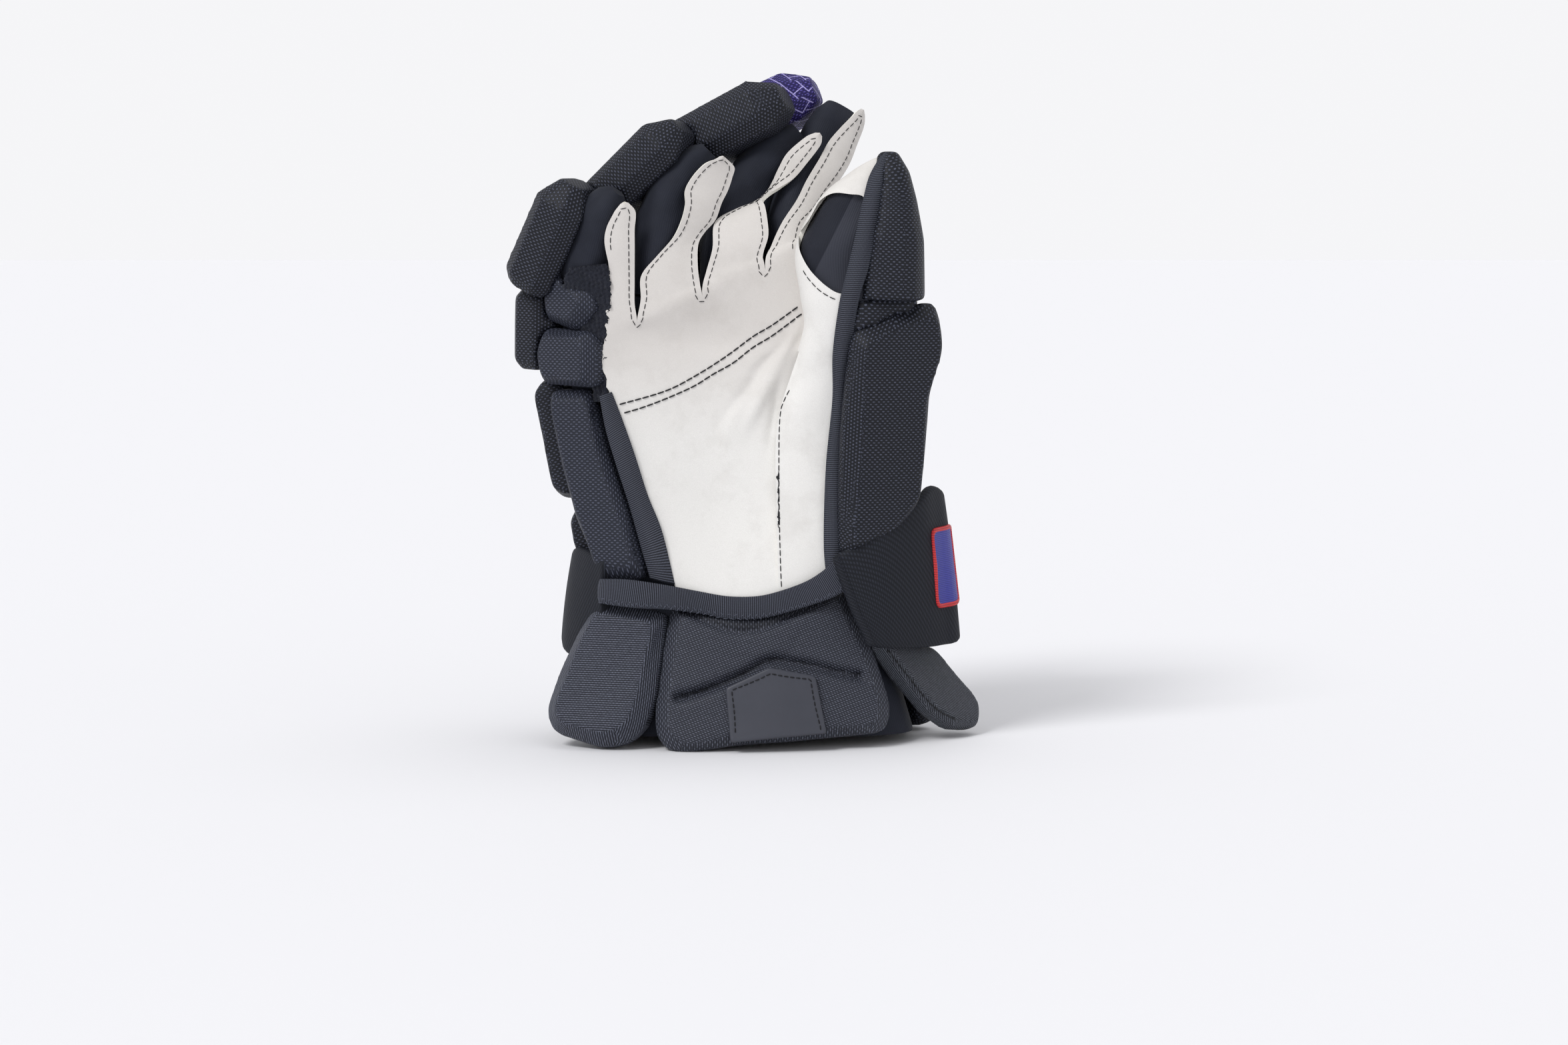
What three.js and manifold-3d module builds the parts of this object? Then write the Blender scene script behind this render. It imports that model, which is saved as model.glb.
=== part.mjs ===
// Ice hockey glove for the right hand, standing on its cuff: palm toward -Y, thumb at +X, fingers up +Z.
// Millimetres. The origin is on the floor, below the middle of the glove's box.
import * as THREE from 'three';
import { mergeVertices } from 'three/addons/utils/BufferGeometryUtils.js';
import Module from 'manifold-3d';

const wasm = await Module();
wasm.setup();

// Driving dimensions: thicknesses
const CLOTH = 2.5;
const LEATHER = 1.6;
const THUMB_LEATHER = 2;
const TAPE = 2.2;
const PILE = 2;
const WING = 5;
const EMBLEM = 1.4;

// Driving dimensions: heights, edges and gaps
const GAP = 0.3;
const RIM = 5;
const FINGER_FLOOR = 216.3;
const STALL_ROOT = 8;
const THUMB_ROOT = 125;
const CHAMFER = 7;
const GROOVE_WIDTH = 4;
const GROOVE_DEPTH = 1.5;
const TONGUE_LAP = 0.15;
const FAR = 300;
const SHIFT = [-2.5, -1.5, 0];

// The hand form, level sections from the cuff up: middle x, middle y, height, half width, half depth
const HAND = [
  [6, 3, 0, 80, 37],
  [3.5, 2, 35, 70.5, 32],
  [-5, 1.5, 75, 55, 24.5],
  [-11, 1, 120, 61, 24],
  [-15.5, 0.5, 165, 65.5, 23.5],
  [-20, 0, 200, 66, 22.5],
  [-22, 0, 216, 65, 22],
];

// The thumb form, level sections: middle x, middle y, height, half width, half depth
const THUMB = [
  [42, -15, 135, 12, 18],
  [44, -16, 152, 17, 18],
  [46, -19, 168, 20, 18],
  [48.5, -27, 190, 18.5, 18],
  [50.5, -32, 204, 17.5, 18],
  [50.5, -35, 218, 19.5, 18],
  [50.5, -36, 240, 21.5, 17],
  [58, -36, 262, 18, 14],
  [64, -36, 274, 10, 9],
  [66, -36, 279, 4, 4],
];

// Each finger: the way its palm side faces, and its stall's sections as middle point, half width, half depth
const FINGERS = {
  little: {
    palm: [0.7, -0.7, 0],
    stall: [
      [-74, -14, FINGER_FLOOR, 13, 13],
      [-72, -16, 235, 13, 13],
      [-67, -20, 251, 12, 12],
      [-61, -22, 262, 9, 9],
      [-58, -23, 266, 4, 4],
    ],
  },
  ring: {
    palm: [0.6, -0.8, 0],
    stall: [
      [-40, -12, FINGER_FLOOR, 14, 13],
      [-38, -11, 243, 14, 13],
      [-33, -10, 262, 13, 12],
      [-23, -8, 278, 11, 10],
      [-15, -8, 286, 5, 5],
    ],
  },
  middle: {
    palm: [0.5, -0.85, 0],
    stall: [
      [-6, -8, FINGER_FLOOR, 14, 13],
      [-4, -2, 247, 14, 13],
      [3, 7, 268, 13, 12],
      [17, 11, 286, 11, 10],
      [28, 12, 296, 5, 5],
    ],
  },
  index: {
    palm: [0.4, -0.9, 0],
    stall: [
      [25, -4, FINGER_FLOOR, 14, 13],
      [25, 2, 246, 14, 13],
      [31, 10, 268, 13, 12],
      [43, 18, 289, 11, 10],
      [53, 22, 304, 5, 5],
    ],
  },
};

// Padded rolls: name, start, end, half width, half thickness, the way the inner side faces
const ROLLS = [
  ['little_tip_roll', [-100, -8, 220], [-77, -20, 270], 17, 13.5, [0.8, -0.35, -0.48]],
  ['ring_tip_roll', [-69, 1, 256], [-27, -11, 297], 17, 12, [0.65, -0.3, -0.7]],
  ['middle_tip_roll', [-33, 16, 283], [22, 1, 312], 17, 13.5, [0.45, -0.3, -0.85]],
  ['index_tip_roll', [-19, 38, 292], [37, 26, 317], 15, 13, [0.4, -0.3, -0.87]],
  ['little_base_roll', [-95, 3, 181], [-94, 1, 224], 16, 12, [0.8, -0.6, 0]],
  ['ring_base_roll', [-56, 30, 186], [-58, 13, 250], 16, 11, [0.5, -0.85, 0]],
  ['middle_base_roll', [-20, 33, 186], [-20, 22, 262], 16, 11, [0.2, -0.97, 0]],
  ['index_base_roll', [16, 32, 186], [14, 29, 268], 16, 11, [0.1, -0.99, 0]],
];

// Leather tongues, root to tip: left edge point, right edge point
const TONGUES = {
  little: [
    [[-63, -30, 212], [-49, -29, 205]],
    [[-62, -30, 230], [-48, -29, 222]],
    [[-64, -32, 242], [-50, -31, 238]],
    [[-63, -32.5, 249], [-50, -31.5, 248]],
    [[-60, -33, 255], [-49.5, -32, 256]],
    [[-57, -33, 260], [-52, -33, 261]],
  ],
  ring: [
    [[-49, -29, 205], [-18, -27, 217]],
    [[-47, -28, 226], [-19, -25, 231]],
    [[-40, -27, 235], [-20, -23, 241]],
    [[-32, -26, 244], [-17, -21, 247]],
    [[-28, -26, 252], [-12, -19, 253]],
    [[-26, -25, 260], [-9, -18, 261]],
    [[-26, -24, 267], [-6, -17, 267]],
    [[-22, -23, 274], [-4, -16, 273]],
    [[-16, -22, 280], [-3, -15, 278]],
    [[-11, -21, 283], [-6, -16, 282]],
  ],
  middle: [
    [[-18, -27, 217], [12, -24, 229]],
    [[-16, -25, 228], [12, -23, 236]],
    [[-13, -23, 239], [14, -21, 245]],
    [[-12, -18, 251], [13, -18, 253]],
    [[-3, -12, 257], [12, -15, 259]],
    [[7, -8, 261], [11, -12, 262]],
    [[13, -4, 266], [14, -9, 265]],
    [[16, -2, 271], [19, -7, 268]],
    [[19, -2, 278], [26, -5, 273]],
    [[23, -2, 285], [32, -4, 280]],
    [[31, -2, 292], [38, -3, 288]],
    [[36, -3, 295], [40, -3, 293]],
  ],
  index: [
    [[12, -24, 229], [28, -22, 237]],
    [[15, -20, 240], [29, -18, 244]],
    [[20, -16, 251], [31, -14, 251]],
    [[27, -10, 262], [37, -8, 257]],
    [[32, -6, 272], [43, -3, 266]],
    [[38, -2, 282], [49, 1, 274]],
    [[43, 2, 291], [53, 5, 281]],
    [[49, 5, 298], [56, 8, 289]],
    [[54, 7, 303], [59, 11, 297]],
    [[58, 9, 308], [60.5, 13, 304]],
  ],
};

// Palm panel, bottom to top: left edge x and y, right edge x and y, height
const PANEL = [
  [-28, -34, 21, -31.5, 70],
  [-36, -33.5, 21, -30.5, 92],
  [-43, -32.5, 21, -28.5, 115],
  [-52, -31.5, 21, -27, 142],
  [-60, -31, 24, -26.5, 164],
  [-66, -30, 32, -26, 185],
  [-64, -30, 34, -24, 198],
];
const PANEL_HOLLOW = 4;
const PANEL_COLUMNS = [0, 0.15, 0.5, 0.82, 1];

// Flat foot of the thumb leather, bottom to top: left edge point, right edge point
const THUMB_FOOT = [
  [[18.5, -34, 70], [43, -34, 81]],
  [[17.5, -31, 116], [41, -33, 116]],
  [[17.5, -29.5, 146], [42, -34, 146]],
  [[20, -29.5, 163], [44, -36, 163]],
];

// Cloths and leathers: colour and roughness
const CLOTHS = {
  mesh: [0x16171c, 0.9],
  weave: [0x191b22, 0.85],
  stretch: [0x1e2027, 0.75],
  fleece: [0x101115, 1],
  tape: [0x1b1c22, 0.85],
  twill: [0x17181e, 0.85],
  leather: [0xe8e6e2, 0.7],
  rubber: [0x3c3e45, 0.5],
  violet: [0x3a2f7c, 0.85],
  blue: [0x2e318f, 0.8],
};

// Shapes

const point = (p) => new THREE.Vector3(...p);
const mix = (a, b, t) => a.map((v, i) => v + (b[i] - v) * t);

// A closed body from rings of equal point count, joined side to side, with a flat fan at each end.
function skin(rings) {
  const sides = rings[0].length;
  const points = rings.flat();
  const centres = [rings[0], rings[rings.length - 1]].map((ring) => {
    const sum = ring.reduce((total, p) => total.add(p), new THREE.Vector3());
    return sum.divideScalar(sides);
  });
  const index = [];
  for (let i = 0; i < sides; i++) {
    const j = (i + 1) % sides;
    const last = (rings.length - 1) * sides;
    index.push(points.length, j, i);
    index.push(points.length + 1, last + i, last + j);
    for (let k = 0; k < rings.length - 1; k++) {
      const a = k * sides;
      index.push(a + i, a + j, a + sides + j, a + i, a + sides + j, a + sides + i);
    }
  }
  return solid([...points, ...centres], index);
}

// Turns points and triangles into a solid, with its faces pointing out.
function solid(points, index) {
  let volume = 0;
  for (let i = 0; i < index.length; i += 3) {
    const [a, b, c] = [points[index[i]], points[index[i + 1]], points[index[i + 2]]];
    volume += a.dot(b.clone().cross(c));
  }
  const loose = new THREE.BufferGeometry().setFromPoints(points);
  loose.setIndex(volume < 0 ? index.toReversed() : index);
  const merged = mergeVertices(loose, 1e-4);
  return new wasm.Manifold(new wasm.Mesh({
    numProp: 3,
    vertProperties: merged.attributes.position.array,
    triVerts: new Uint32Array(merged.index.array),
  }));
}

// Outlines of a section with half sizes a and b: a full soft round, or a block with cut corners.
const soft = (sides, fullness) => (a, b) => Array.from({ length: sides }, (_, i) => {
  const angle = (2 * Math.PI * i) / sides;
  const bend = (v) => Math.sign(v) * Math.abs(v) ** (2 / fullness);
  return [a * bend(Math.cos(angle)), b * bend(Math.sin(angle))];
});
const block = (cut) => (a, b) => {
  const c = Math.min(cut, 0.55 * a, 0.55 * b);
  return [
    [a, b - c], [a - c, b], [c - a, b], [-a, b - c],
    [-a, c - b], [c - a, -b], [a - c, -b], [a, c - b],
  ];
};

// Sections along a line of rows [x, y, z, half width, half depth]; depth lies toward the palm vector.
function loft({ rows, palm, section, level }, grow = 0) {
  const middles = rows.map((row) => point(row.slice(0, 3)));
  const rings = rows.map((row, i) => {
    const before = middles[Math.max(i - 1, 0)];
    const after = middles[Math.min(i + 1, rows.length - 1)];
    const along = level ? new THREE.Vector3(0, 0, 1) : after.clone().sub(before).normalize();
    const depth = point(palm).addScaledVector(along, -point(palm).dot(along)).normalize();
    const width = depth.clone().cross(along);
    const push = i === 0 ? -grow : i === rows.length - 1 ? grow : 0;
    const middle = middles[i].clone().addScaledVector(along, push);
    return section(row[3] + grow, row[4] + grow).map(([a, b]) => (
      middle.clone().addScaledVector(width, a).addScaledVector(depth, b)
    ));
  });
  return skin(rings);
}

// The place of a point [right, up, height] of a face that is turned by yaw and pitch and bent sideways.
function placing({ at, yaw, pitch, bend = 0 }) {
  const turn = new THREE.Matrix4()
    .makeTranslation(...at)
    .multiply(new THREE.Matrix4().makeRotationZ(THREE.MathUtils.degToRad(yaw)))
    .multiply(new THREE.Matrix4().makeRotationX(Math.PI / 2 - THREE.MathUtils.degToRad(pitch)));
  return (x, y, height) => new THREE.Vector3(x, y, height - bend * x ** 2).applyMatrix4(turn);
}

// A pad seen from its face: corners [right, up, rounding], then rows [inset, height] from back to front.
function pad({ corners, profile, ...face }, grow = 0) {
  const outline = corners.flatMap(([x, y, reach], i) => {
    const here = new THREE.Vector2(x, y);
    if (!reach) return [here];
    const arm = (k) => {
      const [px, py] = corners[(i + k + corners.length) % corners.length];
      const way = new THREE.Vector2(px, py).sub(here);
      return here.clone().addScaledVector(way.normalize(), reach);
    };
    return new THREE.QuadraticBezierCurve(arm(-1), here, arm(1)).getPoints(2);
  });
  const centre = outline.reduce((sum, p) => sum.add(p), new THREE.Vector2()).divideScalar(outline.length);
  const place = placing(face);
  const rings = profile.map(([inset, height], k) => outline.map((p) => {
    const arm = p.clone().sub(centre);
    const reach = arm.length() - inset + grow;
    const spot = centre.clone().addScaledVector(arm.normalize(), reach);
    const lift = k < Math.floor(profile.length / 2) ? -grow : grow;
    return place(spot.x, spot.y, height + lift);
  }));
  return skin(rings);
}

// An upright cutting form: an outline of x and z, between two depths toward the viewer.
const prism = (corners, back, front) => pad({
  corners, at: [0, 0, 0], yaw: 0, pitch: 0, profile: [[0, back], [0, front]],
});
const below = (height) => prism(
  [[-FAR, -FAR], [FAR, -FAR], [FAR, height], [-FAR, height]], -FAR, FAR,
);

// A cloth or leather sheet of even thickness through a grid of points.
function sheet({ grid, thickness }, grow = 0) {
  const rows = grid.map((row) => row.map(point));
  const [m, n] = [rows.length, rows[0].length];
  const at = (i, j) => rows[Math.min(Math.max(i, 0), m - 1)][Math.min(Math.max(j, 0), n - 1)];
  const front = [];
  const back = [];
  for (let i = 0; i < m; i++) {
    for (let j = 0; j < n; j++) {
      const up = at(i + 1, j).clone().sub(at(i - 1, j)).normalize();
      const across = at(i, j + 1).clone().sub(at(i, j - 1)).normalize();
      const normal = across.clone().cross(up).normalize();
      const spot = at(i, j).clone();
      const [rise, reach] = [[i, m], [j, n]].map(([k, count]) => (k === count - 1) - (k === 0));
      spot.addScaledVector(up, rise * grow).addScaledVector(across, reach * grow);
      front.push(spot.clone().addScaledVector(normal, thickness / 2 + grow));
      back.push(spot.clone().addScaledVector(normal, -thickness / 2 - grow));
    }
  }
  const index = [];
  const quad = (a, b, c, d) => index.push(a, b, c, a, c, d);
  const under = m * n;
  for (let i = 0; i < m - 1; i++) {
    for (let j = 0; j < n - 1; j++) {
      const a = i * n + j;
      quad(a, a + 1, a + n + 1, a + n);
      quad(under + a, under + a + n, under + a + n + 1, under + a + 1);
    }
  }
  const steps = (count, place) => Array.from({ length: count }, (_, k) => place(k));
  const edge = [
    ...steps(n - 1, (k) => k),
    ...steps(m - 1, (k) => k * n + n - 1),
    ...steps(n - 1, (k) => m * n - 1 - k),
    ...steps(m - 1, (k) => (m - 1 - k) * n),
  ];
  edge.forEach((a, k) => {
    const b = edge[(k + 1) % edge.length];
    quad(a, under + a, under + b, b);
  });
  return solid([...front, ...back], index);
}

// Assembly

const group = new THREE.Group();
group.position.set(...SHIFT);
const taken = [below(0)];

// Adds a piece that gives way, by the gap, to every piece added before it.
function add(name, cloth, form, cuts = []) {
  const parts = [...taken, ...cuts].reduce((rest, other) => rest.subtract(other), form(0)).decompose();
  const body = parts.reduce((best, part) => (part.volume() > best.volume() ? part : best));
  taken.push(form(GAP));
  const mesh = body.getMesh();
  const geometry = new THREE.BufferGeometry();
  geometry.setAttribute('position', new THREE.BufferAttribute(mesh.vertProperties, 3));
  geometry.setIndex(new THREE.BufferAttribute(mesh.triVerts, 1));
  geometry.computeVertexNormals();
  const [color, roughness] = CLOTHS[cloth];
  const material = new THREE.MeshStandardMaterial({ color, roughness, metalness: 0 });
  const node = new THREE.Mesh(geometry, material);
  node.name = name;
  group.add(node);
}

// Thumb: the stretch-cloth form first, then the leather that lies on its left and front
const FRONT = [0, -1, 0];
const thumbLoft = (rows, g) => loft({ rows, palm: FRONT, section: soft(16, 2.8), level: true }, g);
const thumbForm = (g) => thumbLoft(THUMB, g);
const [lowest] = THUMB;
const thumbHollow = thumbLoft([[lowest[0], lowest[1], THUMB_ROOT, lowest[3], lowest[4]], ...THUMB], -CLOTH);
const handForm = (g) => loft({ rows: HAND, palm: FRONT, section: soft(20, 3.6), level: true }, g);

add('thumb_gusset', 'stretch', thumbForm, [handForm(GAP), thumbHollow]);

const rightOfBinding = prism([
  [46, 90], [46, 199], [49, 218], [53, 231], [56, 248], [59, 262],
  [62, 273], [67, 284], [70, 300], [130, 300], [130, 90],
], -FAR, FAR);
const window = prism([
  [28, 246], [33, 253], [37, 260], [44, 265], [58, 263],
  [60, 240], [50, 219], [41, 222], [33, 229], [28.5, 238],
], 36, FAR);
add('thumb_leather', 'leather', (g) => {
  const shell = thumbForm(THUMB_LEATHER + g)
    .subtract(handForm(GAP))
    .subtract(rightOfBinding)
    .subtract(window);
  const grid = THUMB_FOOT.map(([l, r]) => [l, mix(l, r, 0.5), r]);
  return shell.add(sheet({ grid, thickness: LEATHER }, g));
});

// Palm leather: a slightly hollow panel that runs out into four tongues
const panelGrid = PANEL.map(([xl, yl, xr, yr, z]) => PANEL_COLUMNS.map((t) => (
  [xl + (xr - xl) * t, yl + (yr - yl) * t + PANEL_HOLLOW * Math.sin(Math.PI * t), z]
)));
const roots = Object.values(TONGUES).map((rows) => rows[0]);
panelGrid.push([roots[0][0], ...roots.map((root) => root[1])]);
add('palm_leather', 'leather', (g) => {
  let leather = sheet({ grid: panelGrid, thickness: LEATHER }, g);
  for (const rows of Object.values(TONGUES)) {
    const foot = rows[0].map((p, k) => mix(p, rows[1][k], -TONGUE_LAP));
    const grid = [foot, ...rows].map(([l, r]) => [l, mix(l, r, 0.5), r]);
    leather = leather.add(sheet({ grid, thickness: LEATHER }, g));
  }
  return leather;
});

// Hand lining, and a stretch-cloth stall for each finger on top of it, all hollow
const stalls = Object.entries(FINGERS).map(([name, { palm, stall }]) => {
  const stallLoft = (rows, g) => loft({ rows, palm, section: soft(12, 2.6) }, g);
  const [[x, y, z, a, b], ...rest] = stall;
  const hollow = stallLoft([[x, y, z - STALL_ROOT, a, b], ...rest], -CLOTH);
  return { name, hollow, form: (g) => stallLoft(stall, g) };
});
const hollows = stalls.map(({ hollow }) => hollow);
add('hand_lining', 'stretch', handForm, [handForm(-CLOTH), below(RIM), thumbHollow, ...hollows]);
for (const { name, form, hollow } of stalls) {
  add(`${name}_gusset`, 'stretch', form, [hollow]);
}

// Ribbed bindings: tapes over the edges of the leather, left edge and right edge points along each
const TAPES = {
  palm_binding: [
    [[-67, -32, 169], [-61, -32, 171]],
    [[-64, -33, 153], [-56, -33, 158]],
    [[-59, -34, 136], [-50, -34, 141]],
    [[-53, -34, 117], [-44, -34, 122]],
    [[-48, -35, 99], [-37, -35, 104]],
    [[-43, -36, 82], [-31, -36, 79]],
  ],
  thumb_binding: [
    [[41, -38, 84], [49, -38, 84]],
    [[40, -37, 100], [50, -37, 100]],
    [[41, -38, 136], [50, -38, 136]],
    [[44, -41, 168], [51, -41, 168]],
    [[44, -49, 190], [53, -48, 190]],
    [[47, -55.5, 214], [56, -55.5, 214]],
    [[51, -57, 231], [61, -56, 231]],
    [[55, -56, 248], [64, -54, 248]],
    [[58, -54, 262], [67, -52, 262]],
    [[61, -50, 273], [70, -49, 273]],
    [[66, -46, 282], [72, -45, 284]],
  ],
  wrist_binding: [
    [[-66, -40, 72], [-67, -39, 82]],
    [[-50, -43, 70], [-52, -42, 83]],
    [[-34, -42, 69], [-34, -40, 79]],
    [[-18, -38, 66], [-20, -36.5, 76]],
    [[-6, -37.5, 64], [-6, -36, 73.5]],
    [[8, -37.5, 64], [8, -36, 73.5]],
    [[20, -38, 66], [19, -36.5, 76]],
    [[36, -39, 72], [32, -37.5, 81]],
    [[48, -40, 77], [40, -39, 86]],
  ],
};
for (const [name, grid] of Object.entries(TAPES)) {
  add(name, 'tape', (g) => sheet({ grid, thickness: TAPE }, g));
}

// Fleece panel between the side pads and the palm leather
const SIDE_PANEL = [
  [[-70, -24, 168], [-66, -29, 168]],
  [[-72, -25, 185], [-66.5, -29, 185]],
  [[-76, -25, 200], [-66, -29, 200]],
  [[-84, -24, 215], [-64.5, -30, 215]],
  [[-87, -22, 231], [-63.5, -30, 231]],
];
add('side_fleece_panel', 'fleece', (g) => sheet({ grid: SIDE_PANEL, thickness: PILE }, g));

// Pads seen from their faces: corners [right, up, rounding], depths from back to front
const CUFF_FACE = { at: [13, -43, 31], yaw: 4, pitch: 12, bend: 0.002 };
const PADS = {
  little_side_pad_upper: {
    corners: [[-8, 15, 3], [13, 4, 4], [17, -5, 4], [6, -17, 4], [-16, -11, 4], [-18, 2, 4]],
    at: [-83, -24, 216], yaw: -40, pitch: 0, profile: [[4, -14], [0, -10], [0, -3], [6, 3]],
  },
  little_side_pad_lower: {
    corners: [[-16, 13, 4], [15, 12, 4], [19, 2, 3], [18, -15, 4], [-17, -14, 4], [-21, 1, 3]],
    at: [-84, -24, 188], yaw: -40, pitch: 0, profile: [[4, -14], [0, -10], [0, -3], [5, 3]],
  },
  hand_side_pad: {
    corners: [[-26, 46, 4], [-3, 47, 4], [5, 20, 0], [16, -8, 0], [26, -40, 5], [3, -44, 5], [-11, -16, 0],
      [-19, 9, 0]],
    at: [-70, -27, 125], yaw: -28, pitch: 0, profile: [[4, -13], [0, -9], [0, -2], [5, 3]],
  },
  thumb_side_pad: {
    corners: [[-21, 48, 5], [-1, 57, 0], [22, 63, 6], [27, 45, 4], [22, 18, 0], [19, -37, 4], [5, -52, 4],
      [-20, -61, 4], [-23, 0, 0]],
    at: [71, -43, 152], yaw: 25, pitch: -7, profile: [[10, -22], [3, -12], [0, -4], [7, 4]],
  },
  cuff_left_roll: {
    corners: [[-6, 35, 5], [28, 30, 4], [25, -9, 0], [21, -25, 6], [12, -34, 6], [0, -36, 4], [-27, -29, 6],
      [-30, -18, 4], [-24, 0, 0], [-16, 18, 0]],
    at: [-65, -38, 37], yaw: -15, pitch: 12, profile: [[5, -16], [0, -11], [0, -3], [7, 4]], bend: 0.004,
  },
  cuff_palm_pad: {
    corners: [[-45, 39, 4], [-20, 35, 0], [-4, 34, 0], [10, 36, 0], [26, 43, 0], [37, 50, 4], [53, 14, 0],
      [60, -9, 6], [58, -22, 6], [15, -26, 0], [-16, -28, 0], [-44, -32, 6], [-53, -24, 6], [-53, -10, 0],
      [-50, 16, 0]],
    ...CUFF_FACE, profile: [[5, -9], [0, -6], [0, -2], [6, 3], [20, 3]],
  },
  cuff_right_roll: {
    corners: [[-31, 27, 3], [12, 20, 4], [25, 4, 0], [38, -13, 5], [31, -24, 4], [10, -21, 4], [-5, -11, 0],
      [-20, 9, 0]],
    at: [94, -15, 27], yaw: 54, pitch: 20, profile: [[4, -12], [0, -9], [0, -3], [3, 0]],
  },
};
const WOVEN = ['little_side_pad_upper', 'little_side_pad_lower', 'hand_side_pad'];

// The groove pressed across the palm pad of the cuff: right, up
const GROOVE = [[-46, -6], [-19, 2], [1, 12], [22, 8], [50, 2]];
const FACE_HEIGHT = 3;
const onCuff = placing(CUFF_FACE);
const groove = sheet({
  grid: GROOVE.map(([x, y]) => [-0.5, 0.5].map((side) => (
    onCuff(x, y + side * GROOVE_WIDTH, FACE_HEIGHT).toArray()
  ))),
  thickness: 2 * GROOVE_DEPTH,
});
for (const [name, shape] of Object.entries(PADS)) {
  const cuts = name === 'cuff_palm_pad' ? [groove] : [];
  add(name, WOVEN.includes(name) ? 'weave' : 'mesh', (g) => pad(shape, g), cuts);
}

const PATCH = {
  corners: [[-20, 0, 2], [1, 9, 2], [23, 5, 2], [28, -23, 2], [-18, -27, 2]],
  ...CUFF_FACE, profile: [[0, 2], [0, 3], [0.5, 4.5]],
};
add('cuff_patch', 'rubber', (g) => pad(PATCH, g));

// Padded rolls on the backs of the fingers: full from the first to the last of two shares of their length
const FULL = [0.1, 0.8];
for (const [name, from, to, width, thick, palm] of ROLLS) {
  const rows = [
    [...from, width - CHAMFER / 2, thick - CHAMFER / 2],
    ...FULL.map((share) => [...mix(from, to, share), width, thick]),
    [...to, width - CHAMFER, thick - CHAMFER],
  ];
  const cloth = name === 'index_tip_roll' ? 'violet' : 'mesh';
  add(name, cloth, (g) => loft({ rows, palm, section: block(CHAMFER) }, g));
}

// Wide rolls round the back: rows [x, y, z, half thickness, half height] from the left edge to the right
const WRAPS = {
  back_roll_upper: {
    rows: [[-88, -10, 148, 8, 27], [-87, 8, 147, 9, 30], [-76, 26, 147, 9, 30], [-50, 35, 147, 9, 30],
      [0, 37, 147, 9, 30], [40, 34, 147, 9, 30], [60, 18, 147, 8, 27]],
    up: [-0.2, 0, 0.98],
  },
  back_roll_lower: {
    rows: [[-75, -8, 101, 7, 11], [-74, 8, 101, 8, 13], [-64, 25, 101, 8, 13], [-40, 33, 101, 8, 13],
      [10, 34, 101, 8, 13], [44, 27, 101, 8, 13], [58, 12, 101, 7, 11]],
    up: [-0.2, 0, 0.98],
  },
  cuff_back_roll: {
    rows: [[-76, 2, 32, 6, 26], [-72, 24, 30, 8, 29], [-54, 41, 29, 8, 31], [-20, 48, 29, 8, 31],
      [30, 48, 29, 8, 31], [70, 40, 29, 8, 31], [90, 20, 30, 7, 27]],
    up: [0, -0.2, 0.98],
  },
};
for (const [name, { rows, up }] of Object.entries(WRAPS)) {
  add(name, 'mesh', (g) => loft({ rows, palm: up, section: block(CHAMFER) }, g));
}

// Wrist wings: bottom and top points from the front edge round to the back
const WINGS = {
  wrist_wing_right: [
    [[62, -41, 50], [47, -43, 90]],
    [[73, -35, 48], [66, -38, 99]],
    [[88, -23, 47], [84, -26, 112]],
    [[105, -3, 48], [96, -2, 121]],
    [[96, 20, 54], [92, 16, 112]],
    [[68, 36, 62], [66, 34, 88]],
    [[0, 38, 64], [0, 38, 84]],
  ],
  wrist_wing_left: [
    [[-64, -33, 44], [-64, -33, 86]],
    [[-78, -20, 42], [-73, -20, 90]],
    [[-85, -6, 44], [-79, -6, 90]],
    [[-83, 10, 52], [-78, 12, 86]],
    [[-60, 32, 62], [-58, 31, 85]],
    [[-1, 38, 64], [-1, 38, 84]],
  ],
};
for (const [name, grid] of Object.entries(WINGS)) {
  add(name, 'twill', (g) => sheet({ grid, thickness: WING }, g));
}

// Thumb: a long padded roll over its tip and right side, and a short one below
const THUMB_ROLLS = {
  thumb_tip_roll: {
    palm: FRONT,
    fullness: 3,
    rows: [
      [70, -34, 215.5, 17, 23],
      [71.5, -35, 243, 15, 23],
      [72, -36, 262, 11, 19],
      [71.5, -38, 275, 8, 14],
      [70, -39, 284, 4, 8],
    ],
  },
  thumb_base_roll: {
    palm: [0.4, -0.92, 0],
    fullness: 5,
    rows: [
      [63, -28, 190, 16, 17],
      [63, -31, 197, 17.5, 19],
      [63, -31.5, 211, 17.5, 19],
      [63, -31.5, 215, 17, 18.5],
    ],
  },
};
for (const [name, { fullness, ...roll }] of Object.entries(THUMB_ROLLS)) {
  add(name, 'mesh', (g) => loft({ ...roll, section: soft(14, fullness), level: true }, g));
}

// Cloth emblem on the outer face of the right wing
const EMBLEM_FACE = {
  corners: [[-9, -19, 3], [7, -19, 3], [7, 19, 3], [-9, 19, 3]],
  at: [96, -11, 84], yaw: 49, pitch: 2, profile: [[0, -2], [0, 12]],
};
add('wing_emblem', 'blue', (g) => {
  const cover = sheet({ grid: WINGS.wrist_wing_right.slice(2, 5), thickness: WING + 2 * (GAP + EMBLEM) }, g);
  return cover.intersect(pad(EMBLEM_FACE, g));
});

export default group;
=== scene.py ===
import math

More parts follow.
